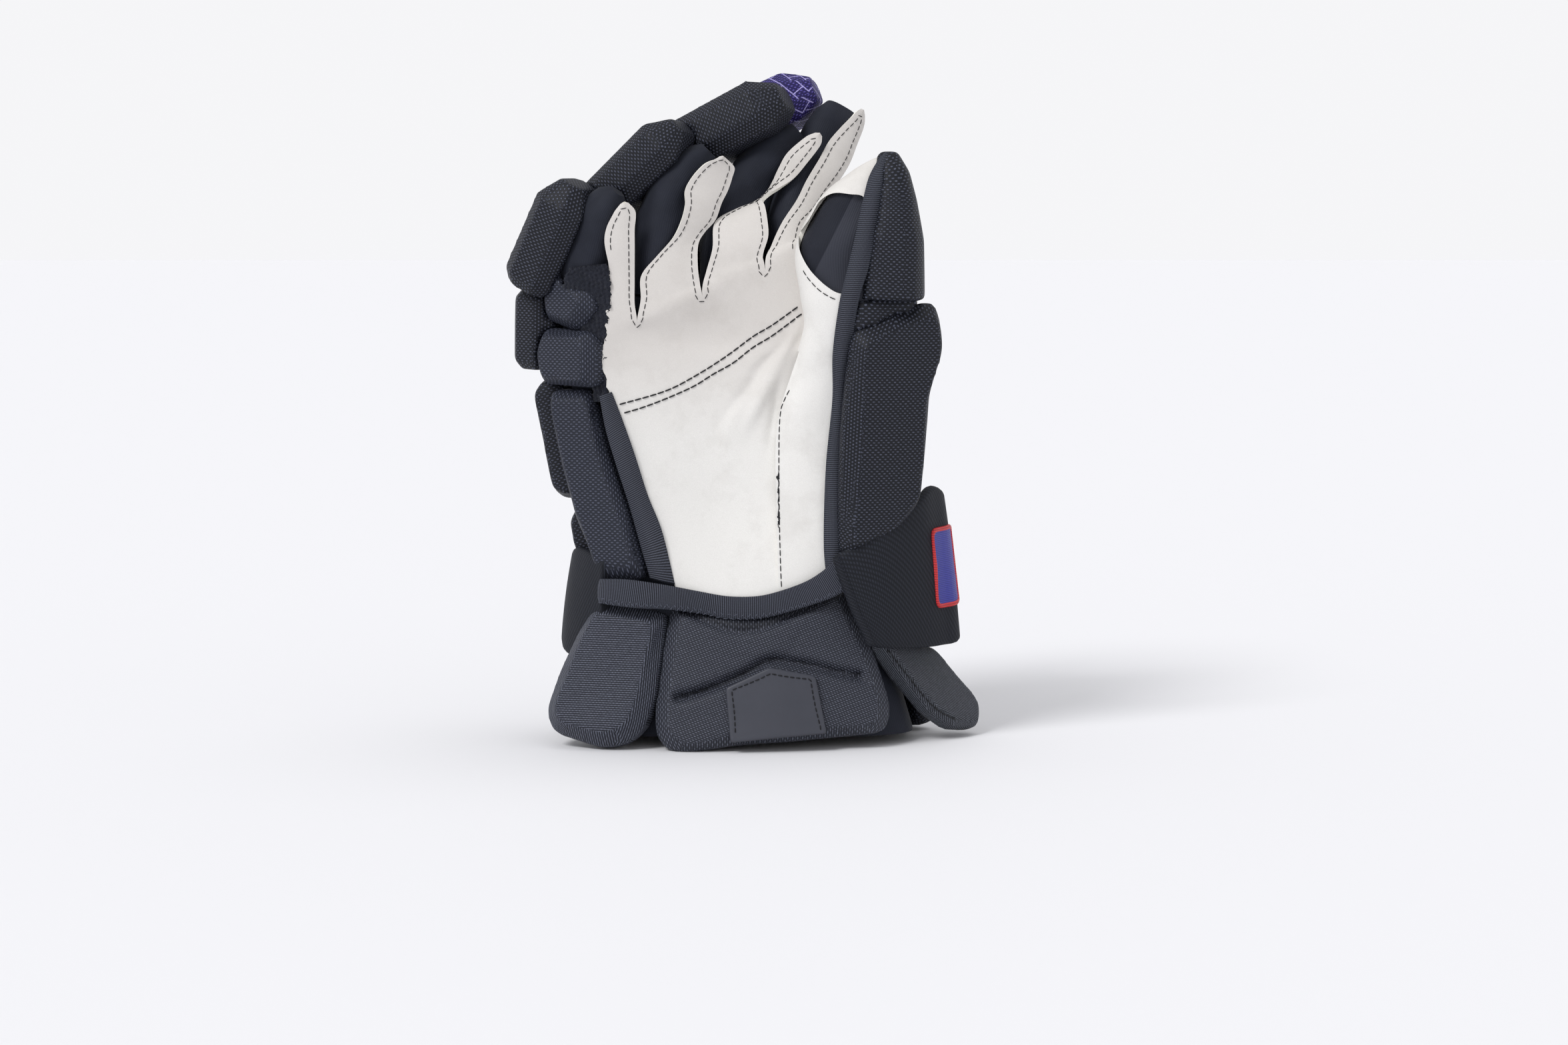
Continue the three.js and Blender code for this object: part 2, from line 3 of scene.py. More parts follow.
import bmesh
import bpy
import numpy as np
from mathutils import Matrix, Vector


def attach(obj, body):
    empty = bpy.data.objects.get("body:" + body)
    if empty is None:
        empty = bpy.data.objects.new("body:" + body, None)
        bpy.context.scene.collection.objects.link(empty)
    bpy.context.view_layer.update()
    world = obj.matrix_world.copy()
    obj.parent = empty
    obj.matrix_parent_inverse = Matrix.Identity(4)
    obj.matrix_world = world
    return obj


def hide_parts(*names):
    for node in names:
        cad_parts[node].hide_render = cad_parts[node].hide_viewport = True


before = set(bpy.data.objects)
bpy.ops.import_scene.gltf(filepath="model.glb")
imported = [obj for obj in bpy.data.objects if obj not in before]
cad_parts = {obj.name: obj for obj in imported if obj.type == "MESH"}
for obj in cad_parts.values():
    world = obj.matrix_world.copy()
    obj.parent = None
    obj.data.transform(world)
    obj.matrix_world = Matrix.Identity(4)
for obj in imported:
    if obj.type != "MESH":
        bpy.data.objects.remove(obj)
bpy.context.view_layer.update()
scene = bpy.context.scene

# The view: a portrait lens level with the fingers, looking a little down on the palm of the standing glove.
lens = bpy.data.cameras.new("camera")
lens.sensor_width = 36
lens.lens = 72.137
camera = bpy.data.objects.new("camera", lens)
camera.location = (0.018586, -1.5315, 0.23952)
camera.rotation_euler = (math.radians(85), 0, 0)
scene.collection.objects.link(camera)
scene.camera = camera
scene.view_settings.view_transform = "Standard"

# The studio: a plain white floor of matt paper under an even white sky, with a broad soft light from the upper left
# and a weaker one from above.


def rgba(code):
    """The linear colour of an sRGB hex code: each channel is c / 12.92 below 0.04045, and otherwise
    ((c + 0.055) / 1.055) to the power 2.4."""
    c = np.array([int(code[i:i + 2], 16) for i in (1, 3, 5)]) / 255
    return (*np.where(c < 0.04045, c / 12.92, ((c + 0.055) / 1.055) ** 2.4), 1.0)


def add_node(owner, kind, sockets=None, **settings):
    """Adds a node with its settings; a socket is given a value, or another node's output to link to."""
    node = owner.node_tree.nodes.new(kind)
    for key, value in settings.items():
        setattr(node, key, value)
    for key, value in (sockets or {}).items():
        if isinstance(value, bpy.types.NodeSocket):
            owner.node_tree.links.new(value, node.inputs[key])
        else:
            node.inputs[key].default_value = value
    return node


def new_material(name):
    """A material made of nodes."""
    material = bpy.data.materials.new(name)
    material.use_nodes = True
    return material


def surface(material, colour, rise, roughness, shine=0.5, sheen=0.0):
    """Gives a material's shader its colour and relief, and how rough, shiny and fuzzy it is."""
    shader = material.node_tree.nodes["Principled BSDF"]
    material.node_tree.links.new(colour.outputs[2], shader.inputs["Base Color"])
    material.node_tree.links.new(rise.outputs["Normal"], shader.inputs["Normal"])
    for socket, value in (("Roughness", roughness), ("Specular IOR Level", shine), ("Sheen Weight", sheen)):
        shader.inputs[socket].default_value = value


def base_colour(material):
    """The output that now colours a material's shader."""
    return material.node_tree.nodes["Principled BSDF"].inputs["Base Color"].links[0].from_socket


def recolour(material, colour):
    """Puts another colour on a material's shader."""
    shader = material.node_tree.nodes["Principled BSDF"]
    material.node_tree.links.new(colour.outputs[2], shader.inputs["Base Color"])


SKY = "#fbfbfd"
world = bpy.data.worlds.new("studio")
world.use_nodes = True
world.node_tree.nodes["Background"].inputs["Color"].default_value = rgba(SKY)
way = add_node(world, "ShaderNodeTexCoord")
height = add_node(world, "ShaderNodeSeparateXYZ", {"Vector": way.outputs["Object"]})
glow = add_node(world, "ShaderNodeMapRange", {
    "Value": height.outputs["Z"], "From Min": 0.25, "From Max": 0.7, "To Min": 0.95, "To Max": 0.5},
    interpolation_type="SMOOTHSTEP")
world.node_tree.links.new(glow.outputs["Result"], world.node_tree.nodes["Background"].inputs["Strength"])
scene.world = world

FLOOR_SIZE = 60
paper = new_material("matt_paper")
grain = add_node(paper, "ShaderNodeTexNoise", {"Scale": 900.0, "Detail": 3.0})
rise = add_node(paper, "ShaderNodeBump", {"Height": grain.outputs["Fac"], "Distance": 0.0001, "Strength": 0.3})
shader = paper.node_tree.nodes["Principled BSDF"]
shader.inputs["Base Color"].default_value = rgba("#ebebee")
shader.inputs["Roughness"].default_value = 0.85
paper.node_tree.links.new(rise.outputs["Normal"], shader.inputs["Normal"])
floor_mesh = bpy.data.meshes.new("floor")
floor_mesh.from_pydata([(x * FLOOR_SIZE, y * FLOOR_SIZE, 0) for x, y in ((-1, -1), (1, -1), (1, 1), (-1, 1))],
                       [], [(0, 1, 2, 3)])
floor_mesh.materials.append(paper)
floor = bpy.data.objects.new("floor", floor_mesh)
scene.collection.objects.link(floor)

LIGHTS = (  # name, the way that the light comes from, spread in degrees, strength
    ("key", (-0.75, -0.9, 1.15), 20, 1.7),
    ("top", (0.3, 0.2, 1.2), 50, 0.5),
)
for name, way, spread, strength in LIGHTS:
    lamp = bpy.data.lights.new(name, "SUN")
    lamp.angle = math.radians(spread)
    lamp.energy = strength
    light = bpy.data.objects.new(name, lamp)
    light.location = Vector(way) * 2
    light.rotation_euler = (-Vector(way)).to_track_quat("-Z", "Y").to_euler()
    scene.collection.objects.link(light)

# Hand lining: the stretch-knit glove inside, which the other pieces are sewn to. It is open at the cuff, and
# a finger stall and the thumb open into it.
SHIFT = np.array([-2.5, -1.5, 0])
CLOTH = 2.5
RIM = 5
FRONT = (0, -1, 0)
HAND_FULLNESS, THUMB_FULLNESS, FINGER_FULLNESS = 3.6, 2.8, 2.6
HAND = np.array([  # middle x, middle y, height, half width, half depth
    [6, 3, 0, 80, 37], [3.5, 2, 35, 70.5, 32], [-5, 1.5, 75, 55, 24.5], [-11, 1, 120, 61, 24],
    [-15.5, 0.5, 165, 65.5, 23.5], [-20, 0, 200, 66, 22.5], [-22, 0, 216, 65, 22],
])
THUMB = np.array([
    [42, -15, 135, 12, 18], [44, -16, 152, 17, 18], [46, -19, 168, 20, 18], [48.5, -27, 190, 18.5, 18],
    [50.5, -32, 204, 17.5, 18], [50.5, -35, 218, 19.5, 18], [50.5, -36, 240, 21.5, 17], [58, -36, 262, 18, 14],
    [64, -36, 274, 10, 9], [66, -36, 279, 4, 4],
])
FLOOR_Z = 216.3
FINGERS = {  # the way the palm side faces, and the stall's sections
    "little": ((0.7, -0.7, 0), [[-74, -14, FLOOR_Z, 13, 13], [-72, -16, 235, 13, 13], [-67, -20, 251, 12, 12],
                                [-61, -22, 262, 9, 9], [-58, -23, 266, 4, 4]]),
    "ring": ((0.6, -0.8, 0), [[-40, -12, FLOOR_Z, 14, 13], [-38, -11, 243, 14, 13], [-33, -10, 262, 13, 12],
                              [-23, -8, 278, 11, 10], [-15, -8, 286, 5, 5]]),
    "middle": ((0.5, -0.85, 0), [[-6, -8, FLOOR_Z, 14, 13], [-4, -2, 247, 14, 13], [3, 7, 268, 13, 12],
                                 [17, 11, 286, 11, 10], [28, 12, 296, 5, 5]]),
    "index": ((0.4, -0.9, 0), [[25, -4, FLOOR_Z, 14, 13], [25, 2, 246, 14, 13], [31, 10, 268, 13, 12],
                               [43, 18, 289, 11, 10], [53, 22, 304, 5, 5]]),
}


def unit(vectors):
    """Vectors of length one."""
    return vectors / np.maximum(np.linalg.norm(vectors, axis=-1, keepdims=True), 1e-9)


def spline(rows, per, ends=(False, False)):
    """A Catmull-Rom curve through the rows of any shape, with `per` steps between two rows. Where ends says
    so, the first or last row only steers the curve."""
    rows = np.asarray(rows, float)
    before = [] if ends[0] else [2 * rows[0] - rows[1]]
    after = [] if ends[1] else [2 * rows[-1] - rows[-2]]
    knots = np.stack([*before, *rows, *after])
    t = (np.arange(per) / per).reshape(1, per, *[1] * (rows.ndim - 1))
    a, b, c, d = (knots[k:len(knots) - 3 + k, None] for k in range(4))
    curve = 0.5 * (2 * b + (c - a) * t + (2 * a - 5 * b + 4 * c - d) * t ** 2 + (3 * b - a - 3 * c + d) * t ** 3)
    return np.concatenate([curve.reshape(-1, *rows.shape[1:]), knots[-2][None]])


def even(rows, step):
    """The rows' smooth curve, cut into even steps of its length, measured on the first three columns."""
    fine = spline(rows, 24)
    run = np.concatenate([[0], np.cumsum(np.linalg.norm(np.diff(fine[:, :3], axis=0), axis=1))])
    places = np.linspace(0, run[-1], max(int(round(run[-1] / step)), 2) + 1)
    return np.stack([np.interp(places, run, column) for column in fine.T], 1), places


def bent(value, fullness):
    """The cosine or sine of a superellipse: its sign times its size to the power 2 / fullness."""
    return np.sign(value) * np.abs(value) ** (2 / fullness)


def tube(rows, palm, fullness, around, step, level=False, grow=0.0):
    """Superellipses of the rows' half width and half depth, square to the middle line or level; returns the
    grid of points and its UV, which is the way round and the way along in millimetres."""
    line, run = even(rows, step)
    middle = line[:, :3]
    along = np.broadcast_to([0.0, 0, 1], middle.shape) if level else unit(np.gradient(middle, axis=0))
    depth = unit(np.asarray(palm) - (along @ np.asarray(palm, float))[:, None] * along)
    width = np.cross(depth, along)
    half = line[:, 3:5] + grow
    mean = half.mean(0)
    dense = np.linspace(0, 2 * np.pi, 2001)
    ring = np.stack([mean[0] * bent(np.cos(dense), fullness), mean[1] * bent(np.sin(dense), fullness)], 1)
    girth = np.concatenate([[0], np.cumsum(np.linalg.norm(np.diff(ring, axis=0), axis=1))])
    angle = np.interp(np.linspace(0, girth[-1], around + 1), girth, dense)
    side = half[:, :1] * bent(np.cos(angle), fullness)
    front = half[:, 1:] * bent(np.sin(angle), fullness)
    grid = middle[:, None] + side[..., None] * width[:, None] + front[..., None] * depth[:, None]
    u, v = np.meshgrid(np.linspace(0, girth[-1], around + 1), run)
    return grid, np.stack([u, v], -1)


def cap(grid, uv, row, rings=8):
    """A lid on one end of a tube: its ring drawn in to its middle in even steps."""
    edge, start = grid[row], uv[row]
    share = np.linspace(0, 1, rings + 1)[:, None, None]
    middle = edge[:-1].mean(0)
    lid = edge + (middle - edge) * share
    plan = unit(edge - middle)[:, :2] * (1 - share) * np.linalg.norm(edge - middle, axis=-1).mean()
    return lid, plan + start[:1]


def weld(name, patches, materials):
    """One mesh from grids of points in the glove's millimetres, each with its UV and material number. Equal
    points are joined, and the faces turned outwards."""
    points, layout, faces, slots, start = [], [], [], [], 0
    for grid, uv, slot in patches:
        rows, columns = grid.shape[:2]
        index = start + np.arange(rows * columns).reshape(rows, columns)
        quads = np.stack([index[:-1, :-1], index[:-1, 1:], index[1:, 1:], index[1:, :-1]], -1).reshape(-1, 4)
        points.append(grid.reshape(-1, 3))
        layout.append(uv.reshape(-1, 2))
        faces.append(quads)
        slots.append(np.full(len(quads), slot))
        start += rows * columns
    faces = np.concatenate(faces)
    mesh = bpy.data.meshes.new(name)
    mesh.from_pydata(((np.concatenate(points) + SHIFT) / 1000).tolist(), [], faces.tolist())
    mesh.polygons.foreach_set("material_index", np.concatenate(slots).astype(np.int32))
    mesh.uv_layers.new(name="UVMap").data.foreach_set(
        "uv", np.concatenate(layout)[faces.ravel()].ravel().astype(np.float32))
    shell = bmesh.new()
    shell.from_mesh(mesh)
    bmesh.ops.remove_doubles(shell, verts=shell.verts, dist=2e-6)
    bmesh.ops.recalc_face_normals(shell, faces=shell.faces)
    shell.to_mesh(mesh)
    shell.free()
    mesh.polygons.foreach_set("use_smooth", np.ones(len(mesh.polygons), bool))
    for material in materials:
        mesh.materials.append(material)
    piece = bpy.data.objects.new(name, mesh)
    scene.collection.objects.link(piece)
    return piece


def settle(piece, sharp=35):
    """Turns the piece's modifiers into its mesh, with edges sharp past an angle."""
    graph = bpy.context.evaluated_depsgraph_get()
    mesh = bpy.data.meshes.new_from_object(piece.evaluated_get(graph))
    piece.modifiers.clear()
    piece.data = mesh
    mesh.polygons.foreach_set("use_smooth", np.ones(len(mesh.polygons), bool))
    mesh.set_sharp_from_angle(angle=math.radians(sharp))


def thicken(piece, thickness, offset, rim=0):
    """Gives a surface its wall, in millimetres; rim is added to the material number on its edges."""
    wall = piece.modifiers.new("wall", "SOLIDIFY")
    wall.thickness = thickness / 1000
    wall.offset = offset
    wall.use_even_offset = True
    wall.material_offset_rim = rim


def cut(piece, *cutters):
    """Takes closed cutting forms out of a piece, and removes them."""
    for cutter in cutters:
        knife = piece.modifiers.new("cut", "BOOLEAN")
        knife.operation = "DIFFERENCE"
        knife.solver = "EXACT"
        knife.object = cutter
        knife.material_mode = "TRANSFER"
    settle(piece)
    for cutter in cutters:
        bpy.data.objects.remove(cutter)


def closed(name, grid, uv, material, rings=3):
    """A tube's grid as one mesh, with a lid on each end."""
    return weld(name, [(grid, uv, 0), *[(*cap(grid, uv, row, rings), 0) for row in (0, -1)]], [material])


def closed_tube(name, rows, palm, fullness, around, step, level=False, grow=0.0, material=None):
    """The same from a tube's rows, as a cutting form."""
    grid, uv = tube(rows, palm, fullness, around, step, level, grow)
    return closed(name, grid, uv, material, rings=2)


def hold(piece, node):
    """The piece rides on the glove and stands for its solid, which is hidden."""
    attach(piece, "root")
    if node:
        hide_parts(node)


def tailored(piece, node):
    """A sheet of cloth or leather is held as any piece."""
    hold(piece, node)


def stretch_cloth(name, dark, light):
    """Polyester and elastane jersey, circular knitted and brushed inside: a very dark navy, fine ribs 1 mm
    apart, and a soft sheen where it turns away."""
    material = new_material(name)
    place = add_node(material, "ShaderNodeUVMap", uv_map="UVMap")
    ribs = add_node(material, "ShaderNodeTexWave", {
        "Vector": place.outputs["UV"], "Scale": math.pi / 10 / 1.0, "Distortion": 1.2, "Detail": 2.0})
    cloud = add_node(material, "ShaderNodeTexNoise", {
        "Vector": place.outputs["UV"], "Scale": 0.12, "Detail": 4.0})
    tone = add_node(material, "ShaderNodeMix", {
        0: cloud.outputs["Fac"], 6: rgba(dark), 7: rgba(light)}, data_type="RGBA")
    rise = add_node(material, "ShaderNodeBump", {
        "Height": ribs.outputs["Fac"], "Distance": 0.00012, "Strength": 0.5})
    surface(material, tone, rise, 0.72, shine=0.2, sheen=0.04)
    return material


jersey = stretch_cloth("knitted_jersey", "#191c25", "#252833")
HAND_STEP = 3
hand_rows = even(HAND, HAND_STEP)[0]
rim_share = RIM / HAND[1, 2]
hand_rows = np.concatenate([[HAND[0] * (1 - rim_share) + HAND[1] * rim_share], hand_rows[hand_rows[:, 2] > RIM + 1]])
grid, uv = tube(hand_rows, FRONT, HAND_FULLNESS, 132, HAND_STEP, level=True)
lining = weld("hand_lining_cloth", [(grid, uv, 0), (*cap(grid, uv, -1), 0)], [jersey])
thicken(lining, CLOTH, -1)
WAY_REACH = 8
stall_cutters = []
for finger, (palm, rows) in FINGERS.items():
    x, y, z, a, b = rows[0]
    way = [[x, y, z - WAY_REACH, a, b], [x, y, z + WAY_REACH, a, b]]
    stall_cutters.append(closed_tube(finger + "_way", way, palm, FINGER_FULLNESS, 40, 4, grow=-CLOTH,
                                     material=jersey))
thumb_rows = np.array([[43, -15.5, 140, 12, 16], *THUMB[1:].tolist()])
thumb_way = closed_tube("thumb_way", thumb_rows, FRONT, THUMB_FULLNESS, 64, 3, level=True, grow=-CLOTH,
                        material=jersey)
cut(lining, *stall_cutters, thumb_way)
tailored(lining, "hand_lining")

# Thumb gusset: a stall of the same knit, sewn into the side of the lining; it shows through the opening of
# the thumb's leather.
grid, uv = tube(THUMB, FRONT, THUMB_FULLNESS, 84, 2.2, level=True)
turns = np.linspace(0, 2 * np.pi, grid.shape[1])
height = grid[..., 2]
THUMB_FOLD = 0.5  # millimetres; the knit is drawn in by as much, so that no fold stands out of its place
fold = THUMB_FOLD * np.sin(height / 5 + 1.7 * np.sin(turns * 2)) * np.clip((height - 150) / 30, 0, 1)
middle = grid[:, :-1].mean(1, keepdims=True)
grid = grid - unit(grid - middle) * (THUMB_FOLD + fold)[..., None]
# Painted light: right of a slanting line through the thumb's opening the knit is painted a lighter grey, as light on
# the stall's far wall, so that the dark part left of it reads as a shaded hollow.
SHADE_LINE_LOW, SHADE_LINE_HIGH = np.array([37.1, 231.3]), np.array([52.7, 261.9])
lean = unit(SHADE_LINE_HIGH - SHADE_LINE_LOW)
to_right = (lean[1], 0, -lean[0])
edge = float(((SHADE_LINE_LOW + SHIFT[[0, 2]]) / 1000) @ [lean[1], -lean[0]])
half_lit_jersey = stretch_cloth("half_lit_jersey", "#191b24", "#20232d")
place = add_node(half_lit_jersey, "ShaderNodeTexCoord")
side = add_node(half_lit_jersey, "ShaderNodeVectorMath", {
    0: place.outputs["Object"], 1: to_right}, operation="DOT_PRODUCT")
which = add_node(half_lit_jersey, "ShaderNodeMapRange", {
    "Value": side.outputs["Value"], "From Min": edge - 0.0002, "From Max": edge + 0.0002})
# The lighter grey right of the line is painted light.
lit_side_colour = add_node(half_lit_jersey, "ShaderNodeMix", {
    0: which.outputs["Result"], 6: base_colour(half_lit_jersey), 7: rgba("#33353e")}, data_type="RGBA")
recolour(half_lit_jersey, lit_side_colour)
gusset = weld("thumb_gusset_cloth", [(grid, uv, 0), (*cap(grid, uv, -1), 0), (*cap(grid, uv, 0), 0)], [half_lit_jersey])
hand_form = closed_tube("hand_form", HAND, FRONT, HAND_FULLNESS, 132, 4, level=True, grow=0.3, material=jersey)
thicken(gusset, CLOTH, -1)
cut(gusset, hand_form)
tailored(gusset, "thumb_gusset")

# Finger gussets: four stalls of the same knit between the leather tongues and the padded backs, with soft
# folds where the fingers bend.
INDEX_TOP = [[41, 20, 289, 14, 10], [46, 24, 301, 12, 8], [49, 26, 308, 8, 5]]
FINGER_FOLD = 0.8
STALL_HEIGHT = 80
for number, (finger, (palm, rows)) in enumerate(FINGERS.items()):
    rows = rows[:3] + INDEX_TOP if finger == "index" else rows
    grid, uv = tube(rows, palm, FINGER_FULLNESS, 72, 1.6)
    turns = np.linspace(0, 2 * np.pi, grid.shape[1])
    reach = (grid[..., 2] - FLOOR_Z) / STALL_HEIGHT
    wave = np.sin(grid[..., 2] / 4.2 + 2.2 * np.sin(turns + number) + number)
    fold = FINGER_FOLD * wave * np.sin(np.pi * np.clip(reach, 0, 1)) * (0.6 + 0.4 * np.cos(3 * turns + number))
    middle = grid[:, :-1].mean(1, keepdims=True)
    grid = grid - unit(grid - middle) * (0.3 + fold)[..., None]
    stall = weld(finger + "_gusset_cloth", [(grid, uv, 0), (*cap(grid, uv, -1), 0)], [jersey])
    thicken(stall, CLOTH, -1)
    settle(stall)
    tailored(stall, finger + "_gusset")

# Palm leather: one skin of white synthetic suede, 1.6 mm thick and cut to a panel with four finger tongues;
# its cut edges are cream, and a row of black stitches runs along the tongues and round the slits.
LEATHER = 1.6
HOLLOW = 4
COLUMNS = [0, 0.15, 0.5, 0.82, 1]
PANEL = np.array([  # left edge x and y, right edge x and y, height
    [-28, -36, 21, -34.5, 70], [-36, -34, 21, -31.5, 92], [-43, -32.5, 21, -28.5, 115],
    [-52, -31.5, 21, -27, 142], [-60, -31, 24, -26.5, 164], [-66, -30, 32, -26, 185], [-64, -30, 34, -24, 198],
])
TONGUES = {  # root to tip: left edge point, right edge point
    "little": [[[-63, -30, 212], [-49, -29, 205]], [[-62.5, -30, 220], [-50.2, -29, 213]],
               [[-62, -30, 230], [-50.2, -29, 224]], [[-64, -32, 242], [-50, -31, 238]],
               [[-63, -32.5, 249], [-50, -31.5, 248]], [[-60, -33, 255], [-49.5, -32, 256]],
               [[-57, -33, 260], [-52, -33, 261]]],
    "ring": [[[-49, -29, 205], [-18, -27, 217]], [[-47.2, -28.5, 215], [-19.2, -26, 223]],
             [[-47, -28, 226], [-20.2, -25, 231]], [[-40, -27, 235], [-20, -23, 241]],
             [[-32, -26, 244], [-17, -21, 247]], [[-28, -26, 252], [-12, -19, 253]],
             [[-26, -25, 260], [-9, -18, 261]], [[-26, -24, 267], [-6, -17, 267]],
             [[-22, -23, 274], [-4, -16, 273]], [[-16, -22, 280], [-3, -15, 278]],
             [[-11, -21, 283], [-6, -16, 282]]],
    "middle": [[[-18, -27, 217], [12, -24, 229]], [[-16, -25, 228], [11, -23, 236]],
               [[-13, -23, 239], [13.5, -21, 245]], [[-12, -18, 251], [13, -18, 253]],
               [[-3, -12, 257], [12, -15, 259]], [[7, -8, 261], [11, -12, 262]], [[13, -4, 266], [14, -9, 265]],
               [[16, -2, 271], [19, -7, 268]], [[19, -2, 278], [26, -5, 273]], [[23, -2, 285], [32, -4, 280]],
               [[31, -2, 292], [38, -3, 288]], [[36, -3, 295], [40, -3, 293]]],
    "index": [[[12, -24, 229], [28, -22, 237]], [[15, -20, 240], [29, -18, 244]], [[20, -16, 251], [31, -14, 251]],
              [[27, -10, 262], [37, -8, 257]], [[32, -6, 272], [43, -3, 266]], [[38, -2, 282], [49, 1, 274]],
              [[43, 2, 291], [53, 5, 281]], [[49, 5, 298], [56, 8, 289]], [[54, 7, 303], [59, 11, 297]],
              [[58, 9, 308], [60.5, 13, 304]]],
}
CREASES = (  # middle x, middle height, half length, half width, lean in degrees, rise toward the viewer
    (10, 168, 16, 3.5, 62, 2.2), (3, 172, 14, 2.6, 52, -1.5), (16, 158, 14, 2.5, 80, -1.2), (25, 196, 9, 2, 60, 1.2),
    (13, 186, 12, 2.4, 40, -1.0), (-2, 160, 16, 4, 70, 0.9),
)


def suede(name, unshaded, wear_and_shade, cream, shade_heights):
    """Synthetic suede, sliced microfibre: off-white with a fine speckled nap, matt, and mixed toward a greyer colour
    between two heights in metres as painted shade, where the glove's upper part turns away from the light. Returns it
    with the cream of its cut edge."""
    material = new_material(name)
    place = add_node(material, "ShaderNodeTexCoord")
    nap = add_node(material, "ShaderNodeTexNoise", {
        "Vector": place.outputs["Object"], "Scale": 2200.0, "Detail": 6.0, "Roughness": 0.75})
    dirt = add_node(material, "ShaderNodeTexNoise", {
        "Vector": place.outputs["Object"], "Scale": 45.0, "Detail": 6.0, "Roughness": 0.65})
    level = add_node(material, "ShaderNodeSeparateXYZ", {"Vector": place.outputs["Object"]})
    # Painted shade: the leather is mixed toward its greyer colour as it rises between the two heights.
    painted_shade = add_node(material, "ShaderNodeMapRange", {
        "Value": level.outputs["Z"], "From Min": shade_heights[0], "From Max": shade_heights[1]},
        interpolation_type="SMOOTHSTEP")
    ground = add_node(material, "ShaderNodeMix", {
        0: painted_shade.outputs["Result"], 6: rgba(unshaded), 7: rgba(wear_and_shade)}, data_type="RGBA")
    speck = add_node(material, "ShaderNodeMapRange", {
        "Value": nap.outputs["Fac"], "From Min": 0.35, "From Max": 0.75, "To Min": 0.25, "To Max": 0.0})
    speckled = add_node(material, "ShaderNodeMix", {
        0: speck.outputs["Result"], 6: ground.outputs[2], 7: rgba("#a8a39e")}, data_type="RGBA")
    patchy = add_node(material, "ShaderNodeMapRange", {
        "Value": dirt.outputs["Fac"], "From Min": 0.5, "From Max": 0.75, "To Min": 0.0, "To Max": 0.22})
    stained = add_node(material, "ShaderNodeMix", {
        0: patchy.outputs["Result"], 6: speckled.outputs[2], 7: rgba("#a39d96")}, data_type="RGBA")
    rise = add_node(material, "ShaderNodeBump", {
        "Height": nap.outputs["Fac"], "Distance": 0.0002, "Strength": 0.4})
    surface(material, stained, rise, 0.85, shine=0.3)
    edge = new_material(name + "_cut_edge")
    fibre = add_node(edge, "ShaderNodeTexNoise", {"Scale": 1800.0, "Detail": 4.0})
    tint = add_node(edge, "ShaderNodeMix", {
        0: fibre.outputs["Fac"], 6: rgba(cream), 7: rgba("#f7f5ee")}, data_type="RGBA")
    recolour(edge, tint)
    edge.node_tree.nodes["Principled BSDF"].inputs["Roughness"].default_value = 0.9
    return [material, edge]


def crease(points):
    """Long low humps and dents that the hand has left: a Gaussian across times one along, toward -Y."""
    moved = points.copy()
    for x, z, half_length, half_width, lean, rise in CREASES:
        c, s = math.cos(math.radians(lean)), math.sin(math.radians(lean))
        along = (points[..., 0] - x) * c + (points[..., 2] - z) * s
        across = (points[..., 2] - z) * c - (points[..., 0] - x) * s
        moved[..., 1] -= rise * np.exp(-(along / half_length) ** 2 - (across / half_width) ** 2)
    return moved


def strip_uv(grid):
    """Plan of a flat leather strip: x and height in millimetres."""
    return grid[..., [0, 2]]


ACROSS = 20
PER = 12
SPLIT = 8
panel = [[[xl + (xr - xl) * t, yl + (yr - yl) * t + HOLLOW * min((z - 70) / 45, 1) * math.sin(math.pi * t), z]
          for t in COLUMNS] for xl, yl, xr, yr, z in PANEL]
roots = [rows[0] for rows in TONGUES.values()]
panel.append([roots[0][0], *[root[1] for root in roots]])
panel = np.array(panel)
lines = spline(panel, PER)
sheet = spline(lines.transpose(1, 0, 2), ACROSS).transpose(1, 0, 2)
patches, tongue_grids = [], []
for k, rows in enumerate(TONGUES.values()):
    rows = np.array(rows, float)
    ghost = np.stack([panel[-2, k], panel[-2, k + 1]])
    edges = spline(np.concatenate([ghost[None], rows]), SPLIT, ends=(True, False))
    left, right = edges[:, 0], edges[:, 1]
    middle = (left + right) / 2
    run = np.concatenate([[0], np.cumsum(np.linalg.norm(np.diff(middle, axis=0), axis=1))])
    to_tip = (run[-1] - run)[:, None]
    reach = np.linalg.norm(right - left, axis=1)[-1] / 2 + 1.5
    taper = np.sqrt(np.clip(1 - (1 - np.minimum(to_tip / reach, 1)) ** 2, 0, 1))
    left, right = middle + (left - middle) * taper, middle + (right - middle) * taper
    share = np.linspace(0, 1, ACROSS + 1)[None, :, None]
    flat = left[:, None] * (1 - share) + right[:, None] * share
    root = sheet[-1, k * ACROSS:(k + 1) * ACROSS + 1]
    fade = np.exp(-run / 10)[:, None, None]
    crown = np.array([0, -0.8, 0]) * np.sin(np.pi * share) * (1 - fade)
    tongue = flat + (root - flat[0])[None] * fade + crown
    strip = np.concatenate([sheet[:-1, k * ACROSS:(k + 1) * ACROSS + 1], tongue])
    if k == 0:
        ragged = np.clip((strip[:, :1, 2] - 163) / 6, 0, 1) * np.clip((234 - strip[:, :1, 2]) / 6, 0, 1)
        nibble = 0.25 * np.sin(strip[:, :1, 2] * 1.9) + 0.8 * np.sin(strip[:, :1, 2] * 0.27 + 1) * np.sin(
            strip[:, :1, 2] * 0.61)
        strip[..., 0] -= ragged * nibble * np.exp(-np.arange(ACROSS + 1) / 1.5)
    strip = crease(strip)
    tongue_grids.append(strip)
    patches.append((strip, strip_uv(strip), 0))
# The second colour is the palm's painted shade, greying the upper palm and the tongues from 0.14 m up.
palm_suede = suede("palm_suede", "#eae9e6", "#d6d2ce", "#ece8dc", (0.14, 0.205))
palm_leather = weld("palm_leather_skin", patches, palm_suede)
thicken(palm_leather, LEATHER, 0, rim=1)
settle(palm_leather)
tailored(palm_leather, "palm_leather")

